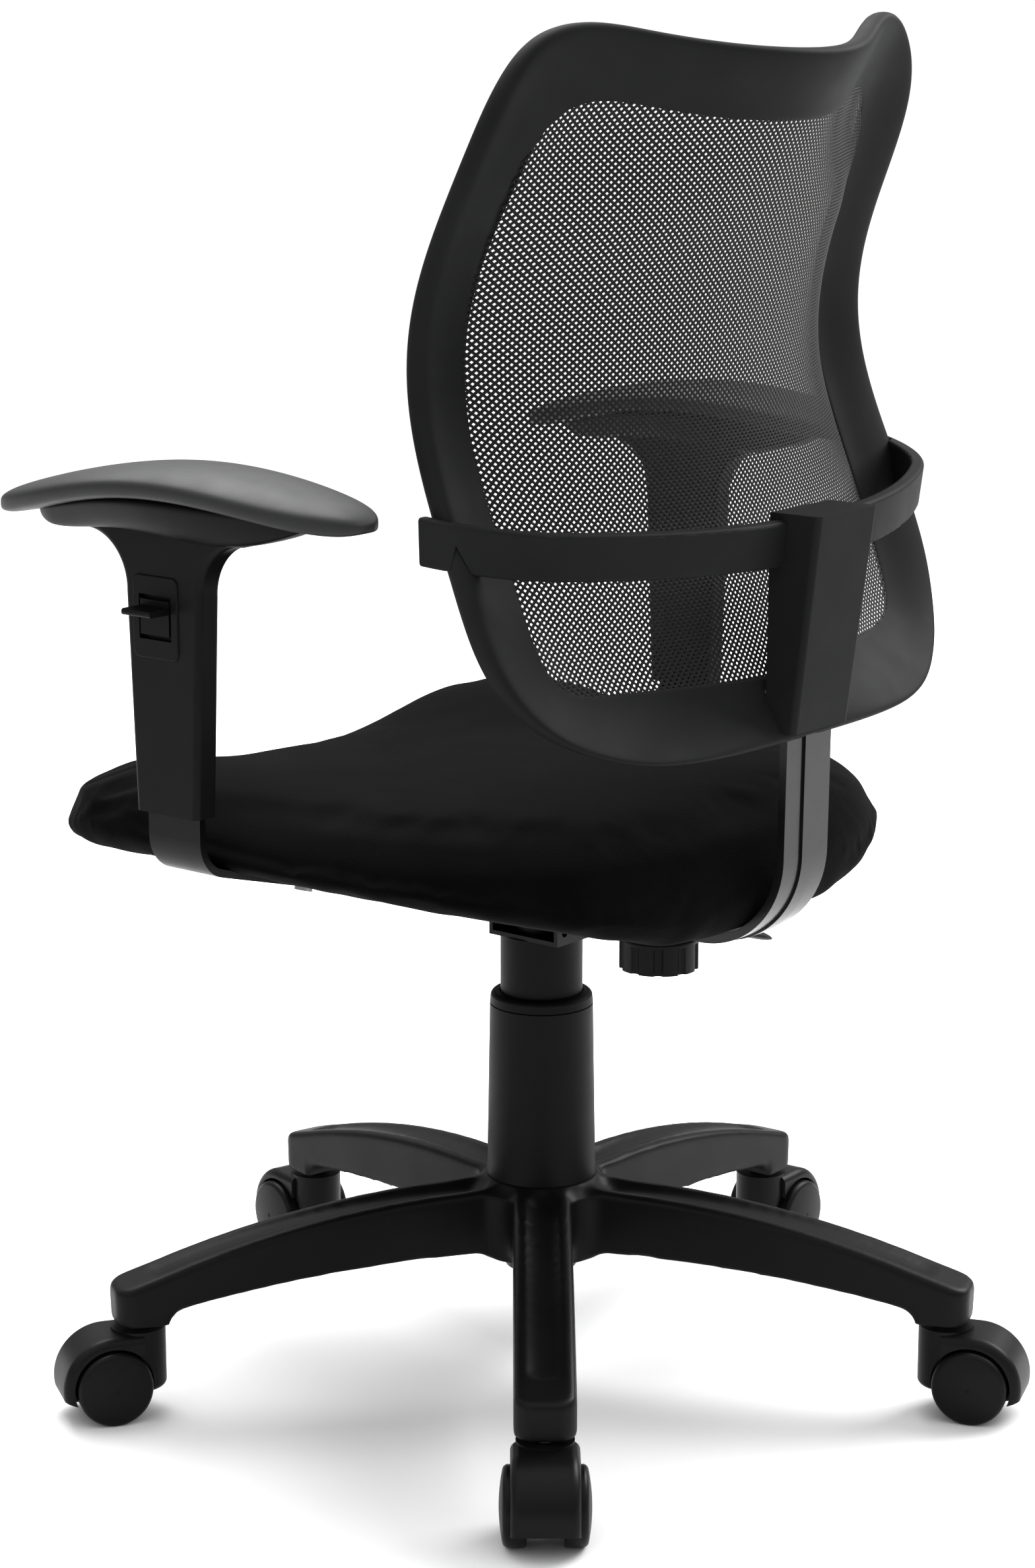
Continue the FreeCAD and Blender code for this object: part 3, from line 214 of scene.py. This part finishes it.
class Paint:
    """A node material built round one Principled shader."""

    def __init__(self, name, roughness, specular=0.4, metallic=0.0):
        self.material = bpy.data.materials.new(name)
        self.material.use_nodes = True
        self.tree = self.material.node_tree
        self.shader = self.tree.nodes["Principled BSDF"]
        self.shader.inputs["Specular IOR Level"].default_value = specular
        self.shader.inputs["Metallic"].default_value = metallic
        self.shader.inputs["Roughness"].default_value = roughness
        self.place = self.add("ShaderNodeTexCoord").outputs["Object"]

    def add(self, kind, **settings):
        node = self.tree.nodes.new(kind)
        for key, setting in settings.items():
            setattr(node, key, setting)
        return node

    def link(self, output, socket):
        self.tree.links.new(output, socket)

    def noise(self, scale, detail, stretch=EVEN):
        texture = self.add("ShaderNodeTexNoise")
        texture.inputs["Scale"].default_value = scale
        texture.inputs["Detail"].default_value = detail
        mapping = self.add("ShaderNodeMapping")
        mapping.inputs["Scale"].default_value = stretch
        self.link(self.place, mapping.inputs["Vector"])
        self.link(mapping.outputs["Vector"], texture.inputs["Vector"])
        return texture.outputs["Fac"]

    def cells(self, scale):
        texture = self.add("ShaderNodeTexVoronoi")
        texture.inputs["Scale"].default_value = scale
        self.link(self.place, texture.inputs["Vector"])
        return texture.outputs["Distance"]

    def wave(self, scale, direction):
        texture = self.add("ShaderNodeTexWave", bands_direction=direction)
        texture.inputs["Scale"].default_value = scale
        texture.inputs["Distortion"].default_value = 0.6
        texture.inputs["Detail Scale"].default_value = 2.0
        self.link(self.place, texture.inputs["Vector"])
        return texture.outputs["Fac"]

    def colour(self, factor, low, high):
        """Base colour between two shades, by a factor from 0 to 1."""
        node = self.add("ShaderNodeValToRGB")
        for element, position, shade in zip(node.color_ramp.elements, (0.3, 0.7), (low, high)):
            element.position = position
            element.color = (*shade, 1)
        self.link(factor, node.inputs["Fac"])
        self.link(node.outputs["Color"], self.shader.inputs["Base Color"])

    def roughness(self, factor, low, high):
        node = self.add("ShaderNodeMapRange")
        node.inputs["To Min"].default_value = low
        node.inputs["To Max"].default_value = high
        self.link(factor, node.inputs["Value"])
        self.link(node.outputs["Result"], self.shader.inputs["Roughness"])

    def bump(self, *layers):
        """Each layer is a height, its strength and its depth; they stack on one another."""
        normal = None
        for height, strength, depth in layers:
            node = self.add("ShaderNodeBump")
            node.inputs["Strength"].default_value = strength
            node.inputs["Distance"].default_value = depth
            self.link(height, node.inputs["Height"])
            if normal:
                self.link(normal, node.inputs["Normal"])
            normal = node.outputs["Normal"]
        self.link(normal, self.shader.inputs["Normal"])


def grey(level, tint=GREENISH):
    return tuple(level * t for t in tint)


def moulded(name, level, roughness, specular, grain=900):
    """Moulded plastic with a fine spark-eroded grain and faint flow marks."""
    paint = Paint(name, roughness, specular)
    paint.colour(paint.noise(9, 4), grey(level * 0.8), grey(level * 1.2))
    paint.roughness(paint.noise(35, 5), roughness - 0.06, roughness + 0.08)
    paint.bump((paint.cells(grain), 0.25, 0.05 * MM), (paint.noise(30, 2), 0.08, 0.4 * MM))
    return paint.material


def powder_coat(name, level, roughness, specular):
    """Black powder coat: a soft orange peel under a clear gloss."""
    paint = Paint(name, roughness, specular)
    paint.colour(paint.noise(14, 3), grey(level * 0.85), grey(level * 1.15))
    paint.roughness(paint.noise(60, 4), roughness - 0.05, roughness + 0.09)
    paint.shader.inputs["Coat Weight"].default_value = 0.3 * specular
    paint.shader.inputs["Coat Roughness"].default_value = 0.2
    paint.bump((paint.noise(420, 2), 0.18, 0.15 * MM))
    return paint.material


def bare_metal(name, level, roughness, stretch=EVEN):
    """Plated or ground steel with faint tool marks."""
    paint = Paint(name, roughness, 0.5, metallic=1.0)
    paint.colour(paint.noise(40, 3), grey(level * 0.85, EVEN), grey(level * 1.1, WARM))
    paint.roughness(paint.noise(250, 4, stretch), roughness - 0.08, roughness + 0.12)
    paint.bump((paint.noise(600, 3, stretch), 0.12, 0.04 * MM))
    return paint.material


def knitted(name, level):
    """Close black upholstery knit: small loops of yarn, with a soft nap."""
    paint = Paint(name, 0.95, 0.06)
    paint.colour(paint.noise(26, 5), grey(level * 0.7, BLUISH), grey(level * 1.35, BLUISH))
    paint.shader.inputs["Sheen Weight"].default_value = 0.03
    paint.shader.inputs["Sheen Roughness"].default_value = 0.5
    paint.bump((paint.cells(700), 0.5, 0.4 * MM), (paint.noise(18, 3), 0.10, 2 * MM))
    return paint.material


def thread(name, level):
    """Twisted polyester yarn of the mesh."""
    paint = Paint(name, 0.6, 0.3)
    paint.colour(paint.noise(220, 3), grey(level * 0.75), grey(level * 1.3))
    paint.shader.inputs["Sheen Weight"].default_value = 0.08
    paint.bump((paint.wave(900, "DIAGONAL"), 0.35, 0.12 * MM))
    return paint.material


def pebbled(name, level):
    """Integral-skin foam: matt, with a fine pebble grain."""
    paint = Paint(name, 0.5, 0.45)
    paint.colour(paint.noise(12, 4), grey(level * 0.85), grey(level * 1.15))
    paint.roughness(paint.noise(45, 4), 0.42, 0.56)
    paint.bump((paint.cells(520), 0.3, 0.12 * MM), (paint.noise(40, 3), 0.06, 0.6 * MM))
    return paint.material


def plywood(name):
    """Birch veneer, its plies showing as darker lines at the edge."""
    paint = Paint(name, 0.6, 0.3)
    paint.colour(paint.noise(30, 5, (0.6, 9, 9)), (0.42, 0.29, 0.16), (0.66, 0.50, 0.31))
    paint.bump((paint.noise(160, 4, (0.3, 5, 5)), 0.25, 0.2 * MM))
    return paint.material


def acetal(name):
    """Off-white bearing plastic."""
    paint = Paint(name, 0.4, 0.5)
    paint.colour(paint.noise(20, 3), (0.62, 0.61, 0.57), (0.72, 0.71, 0.66))
    paint.bump((paint.noise(500, 2), 0.1, 0.05 * MM))
    return paint.material


FINISHES = {
    "base_nylon": moulded("base nylon", 0.006, 0.42, 0.2, grain=1100),
    "caster_nylon": moulded("caster nylon", 0.006, 0.38, 0.22, grain=1300),
    "zinc_steel": bare_metal("zinc-plated steel", 0.35, 0.42),
    "column_steel": powder_coat("column paint", 0.006, 0.4, 0.45),
    "rod_steel": bare_metal("chromed rod", 0.75, 0.14, (1, 1, 12)),
    "bushing_nylon": acetal("acetal"),
    "cover_plastic": moulded("cover polypropylene", 0.006, 0.5, 0.2),
    "plate_steel": powder_coat("plate paint", 0.003, 0.36, 0.22),
    "bar_steel": powder_coat("bar paint", 0.006, 0.24, 0.45),
    "birch_ply": plywood("birch plywood"),
    "seat_fabric": knitted("seat knit", 0.003),
    "mesh_fabric": thread("mesh yarn", 0.010),
    "back_plastic": moulded("back polypropylene", 0.018, 0.58, 0.13),
    "arm_plastic": moulded("arm nylon", 0.006, 0.46, 0.18),
    "pad_skin": pebbled("pad skin", 0.027),
    "lever_plastic": moulded("lever nylon", 0.006, 0.42, 0.2),
}
SLOTS = {part["node"]: part["material_slot"] for part in frame["record"]["subparts"]}


def paint_with(piece, slot):
    piece.data.materials.clear()
    piece.data.materials.append(FINISHES[slot])


def dress(piece, body, slot, *replaced):
    """Gives a new piece its finish, its body and the CAD nodes that it stands for."""
    paint_with(piece, slot)
    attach(piece, body)
    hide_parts(*replaced)
    return piece


# ---------------------------------------------------------------- CAD nodes that stay
# Width in mm of the soft edge of the nodes that don't have the plain one.
PLAIN_EDGE = 0.4
SOFT_EDGES = {
    "back_spine": 1.6, "back_bow": 1.6, "seat_plate": 0.7, "back_bar": 0.9,
    "lower_column_cover": 0.5, "upper_column_cover": 0.5, "clamp_knob": 0.7, "lever_paddle": 0.6,
}


def carry_over_nodes():
    for node in nodes:
        paint_with(nodes[node], SLOTS[node])
        soften(node, SOFT_EDGES.get(node, PLAIN_EDGE) * MM)


def star_base():
    """The base's moulding with soft edges and a fillet wherever two of its faces meet inwards."""
    voxel, fillet = 1.9 * MM, 6 * MM
    piece = add_object("star_base_moulding", nodes["star_base"].data.copy())
    remesh(piece, voxel)
    swell(piece, fillet)
    remesh(piece, voxel)
    swell(piece, -fillet)
    relax(piece, 10)
    dress(piece, "base", "base_nylon", "star_base")


# ---------------------------------------------------------------- back
# The frame's outer and inner edges seen from behind, from the top's middle round to the bottom's.
RIM = [(0, 0.891), (0.060, 0.894), (0.112, 0.902), (0.152, 0.908), (0.186, 0.900),
       (0.210, 0.873), (0.221, 0.835), (0.226, 0.775), (0.229, 0.705), (0.233, 0.640),
       (0.236, 0.585), (0.233, 0.538), (0.211, 0.499), (0.164, 0.475), (0.095, 0.467), (0, 0.467)]
OPENING = [(0, 0.847), (0.060, 0.850), (0.106, 0.858), (0.140, 0.861), (0.162, 0.848),
           (0.172, 0.812), (0.178, 0.762), (0.182, 0.702), (0.186, 0.642), (0.186, 0.596),
           (0.185, 0.562), (0.183, 0.538), (0.175, 0.519), (0.154, 0.511), (0.108, 0.509),
           (0, 0.507)]
BACK_FOOT, BACK_TOP = 0.47, 0.90
# Where the depth of the CAD back is read: on a side rail's middle and just beside the spine.
RAIL_LINE, BESIDE_SPINE = 0.200, 0.040
# Thickness of the CAD back, and half of its mesh's.
SLAB = 18 * MM
MESH_HALF = 0.75 * MM
# Across the rail from its outer (0) to its inner edge (1): how far in mm each side lies in front of
# the back's rear face. The rear side slopes down from a soft outer edge to the mesh.
REAR_SECTION = [(0.0, 8.0), (0.015, 3.2), (0.06, 0.7), (0.13, 0.0), (0.26, 0.7), (0.42, 2.2),
                (0.58, 4.2), (0.76, 6.6), (0.92, 8.0), (1.0, 8.4)]
FRONT_SECTION = [(1.0, 10.6), (0.9, 12.2), (0.7, 13.8), (0.45, 15.4), (0.2, 16.8), (0.07, 16.6),
                 (0.015, 13.6)]


def rear_face_lines():
    """Depth of the back's rear face down a side rail and just beside the spine, off the frame."""
    def depth(node, x, z):
        hit = trees[node].ray_cast(Vector((x, 1, z)), Vector((0, -1, 0)))[0]
        return hit.y if hit else None

    trees = {n: BVHTree.FromPolygons([v.co for v in nodes[n].data.vertices],
                                     [p.vertices for p in nodes[n].data.polygons])
             for n in ("back_frame", "back_mesh")}
    mesh_to_face = SLAB / 2 - MESH_HALF
    side, middle = [], []
    for z in np.linspace(BACK_FOOT, BACK_TOP, 30):
        on_rail = depth("back_frame", RAIL_LINE, z)
        if on_rail is not None:
            side.append((z, on_rail))
        on_mesh = depth("back_mesh", BESIDE_SPINE, z)
        on_frame = depth("back_frame", BESIDE_SPINE, z)
        if on_mesh is not None:
            middle.append((z, on_mesh + mesh_to_face))
        elif on_frame is not None:
            middle.append((z, on_frame))
    return np.array(side), np.array(middle)


def fitted(line, degree):
    """A smooth curve through a line's points."""
    line = np.array(line)
    return np.polynomial.Polynomial.fit(line[:, 0], line[:, 1], degree)


SIDE_FIT, BESIDE_FIT = (fitted(line, 7) for line in rear_face_lines())
BESIDE_SHARE = math.sin(math.pi / 2 * BESIDE_SPINE / RAIL_LINE) ** 2


def middle_depth(z):
    """Depth on the middle line, from the readings taken just beside it."""
    return (BESIDE_FIT(z) - BESIDE_SHARE * SIDE_FIT(z)) / (1 - BESIDE_SHARE)


def depth_across(z, share):
    """Depth at a share of the way from the middle line to the side rails."""
    centre = middle_depth(z)
    return centre - (centre - SIDE_FIT(z)) * share


def back_depth(x, z):
    """The back's rear face: deepest on the middle line, level across the side rails."""
    return depth_across(z, np.sin(np.pi / 2 * np.minimum(np.abs(x) / RAIL_LINE, 1)) ** 2)


def back_frame():
    """The moulded rim: a broad flange that rolls over outside and dips to the mesh inside."""
    count = 220
    outer = closed_curve(mirrored(RIM), count)
    inner = closed_curve(mirrored(OPENING), count)
    rings = []
    for share, drop in REAR_SECTION + FRONT_SECTION:
        edge = outer + (inner - outer) * share
        depth = back_depth(edge[:, 0], edge[:, 1]) - drop * MM
        rings.append(np.column_stack([edge[:, 0], depth, edge[:, 1]]))
    faces, sections = [], len(rings)
    for i in range(sections):
        for j in range(count):
            k, n = (j + 1) % count, (i + 1) % sections
            faces.append((i * count + j, n * count + j, n * count + k, i * count + k))
    piece = add_piece("back_frame_shell", np.concatenate(rings), faces)
    subdivide(piece)
    dress(piece, "back", "back_plastic", "back_frame")


def inside_outline(x, z, outline):
    """Which points lie inside a closed outline."""
    inside = np.zeros(x.shape, bool)
    following = np.roll(outline, -1, 0)
    for (x0, z0), (x1, z1) in zip(outline, following):
        crosses = (z0 > z) != (z1 > z)
        with np.errstate(divide="ignore", invalid="ignore"):
            at = x0 + (z - z0) * (x1 - x0) / (z1 - z0)
        inside ^= crosses & (x < at)
    return inside


# The mesh: half its free width, and the heights between which the bottom rail and the top rail let
# go of it.
FREE_HALF = 0.187
BOTTOM_HOLD, TOP_HOLD = (0.510, 0.580), (0.780, 0.850)
# Pitch of its holes across and up, height of its row 0, share of each diamond that is open,
# thickness of its yarn, and how far it runs on under the frame.
PITCH_X, PITCH_Z = 4.4 * MM, 4.3 * MM
ROW_0 = 0.50
OPEN_SHARE = 0.50
YARN = 0.55 * MM
HELD_MARGIN = 1.025


def sheet_depth(x, z):
    """The stretched mesh: a plain curve from rail to rail, held by the top and bottom rails."""
    free = depth_across(z, np.minimum(np.abs(x) / FREE_HALF, 1) ** 2)
    away = smoothstep(*BOTTOM_HOLD, z) * (1 - smoothstep(*TOP_HOLD, z))
    return back_depth(x, z) * (1 - away) + free * away - SLAB / 2


def flat_weave(edge):
    """The mesh laid flat: its knots, the holes' corners, and the four knots round each hole."""
    columns, rows = np.arange(-96, 97), np.arange(-4, 176)
    grid_x, grid_z = np.meshgrid(columns * PITCH_X / 2, ROW_0 + rows * PITCH_Z / 2, indexing="ij")
    odd = (np.add.outer(columns, rows) % 2) == 1
    holes = odd & inside_outline(grid_x, grid_z, edge)
    centre = np.column_stack([grid_x[holes], grid_z[holes]])
    half = np.array([[PITCH_X / 2, 0], [0, PITCH_Z / 2], [-PITCH_X / 2, 0], [0, -PITCH_Z / 2]])
    corners = centre[:, None, :] + half
    keys = np.rint(corners / (half[0, 0], half[1, 1])).astype(int).reshape(-1, 2)
    index = {}
    around = np.array([index.setdefault(tuple(k), len(index)) for k in keys]).reshape(-1, 4)
    knots = np.zeros((len(index), 2))
    knots[around.ravel()] = corners.reshape(-1, 2)
    rims = (centre[:, None, :] + half * OPEN_SHARE).reshape(-1, 2)
    return knots, rims, around


def mesh_weave():
    """The open mesh: crossed yarns round diamond holes, as real geometry."""
    edge = closed_curve(mirrored(OPENING), 200)
    middle = edge.mean(0)
    edge = middle + (edge - middle) * HELD_MARGIN
    knots, rims, around = flat_weave(edge)
    flat = np.concatenate([knots, rims])
    rim_index = len(knots) + np.arange(len(rims)).reshape(-1, 4)
    depth = sheet_depth(flat[:, 0], flat[:, 1])
    raised = np.concatenate([np.full(len(knots), YARN * 0.7), np.full(len(rims), YARN * 0.35)])
    rear = np.column_stack([flat[:, 0], depth + raised, flat[:, 1]])
    front = np.column_stack([flat[:, 0], depth - raised, flat[:, 1]])
    total = len(flat)
    faces = []
    for k in range(4):
        n = (k + 1) % 4
        strip = np.column_stack([around[:, k], rim_index[:, k], rim_index[:, n], around[:, n]])
        wall = np.column_stack([rim_index[:, k], rim_index[:, k] + total, rim_index[:, n] + total,
                                rim_index[:, n]])
        faces += [strip, strip[:, ::-1] + total, wall]
    piece = add_piece("back_mesh_weave", np.concatenate([rear, front]), np.concatenate(faces))
    dress(piece, "back", "mesh_fabric", "back_mesh")


# ---------------------------------------------------------------- seat
def settle_foam(piece, cap):
    """Puffs the upholstery out like foam under a tight cover; its underside stays on the board."""
    before = coordinates(piece)
    held = piece.vertex_groups.new(name="held")
    for index in np.nonzero(normals_of(piece)[:, 2] < -0.35)[0]:
        held.add([int(index)], 1.0, "REPLACE")
    cloth = piece.modifiers.new("Cloth", "CLOTH")
    cloth.settings.quality = 4
    cloth.settings.use_pressure = True
    cloth.settings.uniform_pressure_force = 4
    cloth.settings.tension_stiffness = 25
    cloth.settings.compression_stiffness = 25
    cloth.settings.bending_stiffness = 2
    cloth.settings.vertex_group_mass = held.name
    cloth.settings.effector_weights.gravity = 0
    cloth.collision_settings.use_collision = False
    scene = bpy.context.scene
    for frame_number in range(1, 21):
        scene.frame_set(frame_number)
    apply_modifiers(piece)
    move = coordinates(piece) - before
    length = np.linalg.norm(move, axis=1, keepdims=True)
    move *= np.minimum(1, cap / np.maximum(length, 1e-9))
    set_coordinates(piece, before + move)
    scene.frame_set(1)
    piece.vertex_groups.clear()


def shape_top(piece, low, high):
    """Full front corners and a low saddle, the cover drawn in above and let out below, in mm."""
    corner_rise, saddle_dip, drawn_in, let_out = 14, 2.5, 2.5, 1.5
    co = coordinates(piece)
    across = np.abs(co[:, 0]) / ((high.x - low.x) / 2)
    forward = (high.y - co[:, 1]) / (high.y - low.y)
    above = smoothstep(high.z - 0.040, high.z - 0.018, co[:, 2])
    corner = smoothstep(0.2, 0.75, across) * smoothstep(0.5, 0.9, forward)
    co[:, 2] += (corner_rise * corner - saddle_dip * (1 - across) ** 2 * forward) * above * MM
    normals = normals_of(piece)
    upper = smoothstep(-0.2, 0.4, normals[:, 2])
    co -= normals * (drawn_in * MM * upper - let_out * MM * (1 - upper))[:, None]
    set_coordinates(piece, co)


def pucker(piece, low, high):
    """Small folds in the cover where it turns under, near the seat's outline."""
    fold, folds_per_metre, layer = 2.6 * MM, 38, 3.1
    co = coordinates(piece)
    normals = normals_of(piece)
    outwards = np.maximum(np.abs(co[:, 0]) / ((high.x - low.x) / 2),
                          np.abs(co[:, 1] - (low.y + high.y) / 2) / (high.y - low.y) * 2)
    turned = smoothstep(0.15, 0.6, -normals[:, 2]) * smoothstep(0.72, 0.9, outwards)
    ripple = np.array([noise.noise(Vector((x * folds_per_metre, y * folds_per_metre, layer)))
                       for x, y in co[:, :2]])
    set_coordinates(piece, co + normals * (turned * ripple * fold)[:, None])


def seat_cushion():
    """Upholstery over the board, in one piece from the crown to the underside."""
    low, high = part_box("seat_cushion")
    low = Vector((low.x, low.y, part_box("seat_board")[0].z - 1 * MM))
    piece = remesh(joined("seat_upholstery", "seat_cushion", "seat_board"), 5 * MM)
    relax(piece, 45)
    fit_into(piece, low, high)
    shape_top(piece, low, high)
    settle_foam(piece, 4.5 * MM)
    pucker(piece, low, high)
    subdivide(piece)
    dress(piece, "seat", "seat_fabric", "seat_cushion")


# ---------------------------------------------------------------- arms
def superellipse(half_width, bottom, top, upper, lower, count=40):
    """A rounded section in x and z: upper and lower say how square its two halves are."""
    middle, half_height = (top + bottom) / 2, (top - bottom) / 2
    ring = []
    for angle in np.linspace(0, 2 * math.pi, count, endpoint=False):
        c, s = math.cos(angle), math.sin(angle)
        power = 2 / (upper if s > 0 else lower)
        ring.append((half_width * math.copysign(abs(c) ** power, c),
                     middle + half_height * math.copysign(abs(s) ** power, s)))
    return ring


# Along the pad from its front tip (-1) to its rear tip (1): heights above the sleeve's top, in mm,
# of its lower edge and of its crown, and of the carrier's keel.
PAD_EDGE = [(-1, -3), (-0.8, 2), (-0.55, 10.5), (-0.25, 19), (0, 22.5), (0.35, 20.5),
            (0.75, 13.5), (1, 9)]
PAD_CROWN = [(-1, 12), (-0.8, 21), (-0.5, 32), (-0.2, 40.5), (0, 43), (0.38, 41), (0.7, 34),
             (1, 25)]
KEEL = [(-0.80, 1), (-0.66, -4), (-0.5, -5), (0, -2), (0.36, -5), (0.5, 1), (0.74, 13)]
PAD_HEIGHT = 43 * MM
# Stations from tip to tip, closer together towards the tips.
STATIONS = np.sin(np.linspace(-math.pi / 2, math.pi / 2, 56)[1:-1])


def along(line, t):
    """Height on one of the pad's lines, as a smooth curve through its points."""
    return float(fitted(line, 5)(t)) * MM


def pad_rings(middle_x, middle_y, half_length, half_width, base):
    """Sections of the pad: a thick rolled edge under a low crown."""
    edge_thickness, edge_half = 14.5 * MM, 7.2 * MM
    rings = []
    for t in STATIONS:
        width = half_width * (1 - abs(t) ** (3.6 if t > 0 else 2.5)) ** 0.5
        rounding = (1 - abs(t) ** 14) ** 0.5
        bottom, crown = base + along(PAD_EDGE, t), base + along(PAD_CROWN, t)
        thick = edge_thickness * rounding
        centre = bottom + edge_half
        rise = max(crown - centre - edge_half, 0) * rounding
        ring = []
        for x, z in superellipse(width, -thick / 2, thick / 2, 3.8, 4.2):
            dome = rise * (1 - (x / width) ** 2) if z > 0 else 0
            ring.append((middle_x + x, middle_y + t * half_length, centre + z + dome))
        rings.append(ring)
    return rings


def bowl_rings(middle_x, middle_y, half_length, half_width, base):
    """Sections of the carrier: a bowl that hangs from the pad's lower edge down to its keel."""
    rings = []
    first, last = KEEL[0][0], KEEL[-1][0]
    for t in STATIONS:
        share = (first + last) / 2 + t * (last - first) / 2
        top = base + along(PAD_EDGE, share) + 3 * MM
        bottom = min(base + along(KEEL, share), top - 2 * MM)
        wide = max(0.92 * half_width * (1 - abs(t) ** 1.7) ** 0.6, 2 * MM)
        narrow = min(11 * MM, 0.6 * wide)
        half = [(narrow + (wide - narrow) * step ** 0.62, bottom + (top - bottom) * step ** 1.5)
                for step in np.linspace(0, 1, 12)]
        section = half + [(-x, z) for x, z in reversed(half)]
        rings.append([(middle_x + x, middle_y + share * half_length, z) for x, z in section])
    return rings


def arm_pad(name):
    """Soft pad, on a bowl that closes over the sleeve."""
    low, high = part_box(f"arm_pad_{name}")
    form = ((low.x + high.x) / 2, (low.y + high.y) / 2,
            (high.y - low.y) / 2, (high.x - low.x) / 2, high.z - PAD_HEIGHT)
    pad = loft(f"arm_pad_{name}_skin", pad_rings(*form))
    relax(pad, 5)
    subdivide(pad)
    dress(pad, f"arm_{name}", "pad_skin", f"arm_pad_{name}")
    carrier = loft(f"arm_pad_{name}_bowl", bowl_rings(*form))
    relax(carrier, 2)
    subdivide(carrier)
    dress(carrier, f"arm_{name}", "arm_plastic", f"arm_pad_carrier_{name}")


# ---------------------------------------------------------------- stage, lights, camera
def paper_floor():
    """A pale floor that runs on to the horizon."""
    reach = 90
    floor = add_piece("studio_floor", [(-reach, -reach, 0), (reach, -reach, 0), (reach, reach, 0),
                                       (-reach, reach, 0)], [(0, 1, 2, 3)])
    paper = Paint("pale paper", 0.9, 0.1)
    paper.colour(paper.noise(1.5, 2), (0.93, 0.93, 0.93), (0.95, 0.95, 0.95))
    floor.data.materials.append(paper.material)


def surroundings():
    """Light that grows from the horizon to overhead; the camera itself sees plain white."""
    at_horizon, overhead, seen = 0.25, 1.5, 1.1
    world = bpy.data.worlds.new("studio")
    world.use_nodes = True
    tree = world.node_tree
    sky, output = tree.nodes["Background"], tree.nodes["World Output"]
    direction = tree.nodes.new("ShaderNodeTexCoord").outputs["Generated"]
    split = tree.nodes.new("ShaderNodeSeparateXYZ")
    tree.links.new(direction, split.inputs[0])
    strength = tree.nodes.new("ShaderNodeMapRange")
    strength.inputs["To Min"].default_value = at_horizon
    strength.inputs["To Max"].default_value = overhead
    tree.links.new(split.outputs["Z"], strength.inputs["Value"])
    tree.links.new(strength.outputs["Result"], sky.inputs["Strength"])
    white = tree.nodes.new("ShaderNodeBackground")
    white.inputs["Strength"].default_value = seen
    chosen = tree.nodes.new("ShaderNodeMixShader")
    tree.links.new(tree.nodes.new("ShaderNodeLightPath").outputs["Is Camera Ray"], chosen.inputs[0])
    for shader, socket in ((sky, 1), (white, 2)):
        shader.inputs["Color"].default_value = (1, 1, 1, 1)
        tree.links.new(shader.outputs[0], chosen.inputs[socket])
    tree.links.new(chosen.outputs[0], output.inputs["Surface"])
    bpy.context.scene.world = world


def area_light(name, place, size, power):
    """A softbox that faces the middle of the chair."""
    light = bpy.data.lights.new(name, "AREA")
    light.shape = "RECTANGLE"
    light.size, light.size_y = size
    light.energy = power
    lamp = add_object(name, light)
    lamp.location = place
    to_chair = Vector((0, 0, 0.5)) - Vector(place)
    lamp.rotation_euler = to_chair.to_track_quat("-Z", "Y").to_euler()


def studio():
    paper_floor()
    surroundings()
    area_light("key", (-2.5, 1.0, 2.4), (2.0, 2.0), 100)
    area_light("top", (-0.6, -1.2, 2.8), (2.2, 2.2), 70)
    area_light("fill", (2.8, 0.2, 1.4), (1.2, 1.8), 4)
    view = bpy.context.scene.view_settings
    view.view_transform = "Standard"
    view.gamma = 0.82
    view.exposure = 0.08


def camera():
    """Behind the chair, on the sitter's left, looking a little down at it."""
    distance, height = 2.45, 0.9675
    turn, pitch, aside = (math.radians(angle) for angle in (51.44, 12.905, 0.377))
    forward = Vector((-math.sin(turn), -math.cos(turn), 0))
    right = Vector((-math.cos(turn), math.sin(turn), 0))
    level = forward * math.cos(aside) - right * math.sin(aside)
    aim = level * math.cos(pitch) - Vector((0, 0, math.sin(pitch)))
    lens = bpy.data.cameras.new("camera")
    lens.sensor_width = 36
    lens.lens = 87.0
    lens.clip_end = 400
    view = add_object("camera", lens)
    view.location = -forward * distance + Vector((0, 0, height))
    view.rotation_euler = aim.to_track_quat("-Z", "Y").to_euler()
    bpy.context.scene.camera = view


carry_over_nodes()
star_base()
back_frame()
mesh_weave()
seat_cushion()
for side in ("left", "right"):
    arm_pad(side)
studio()
camera()
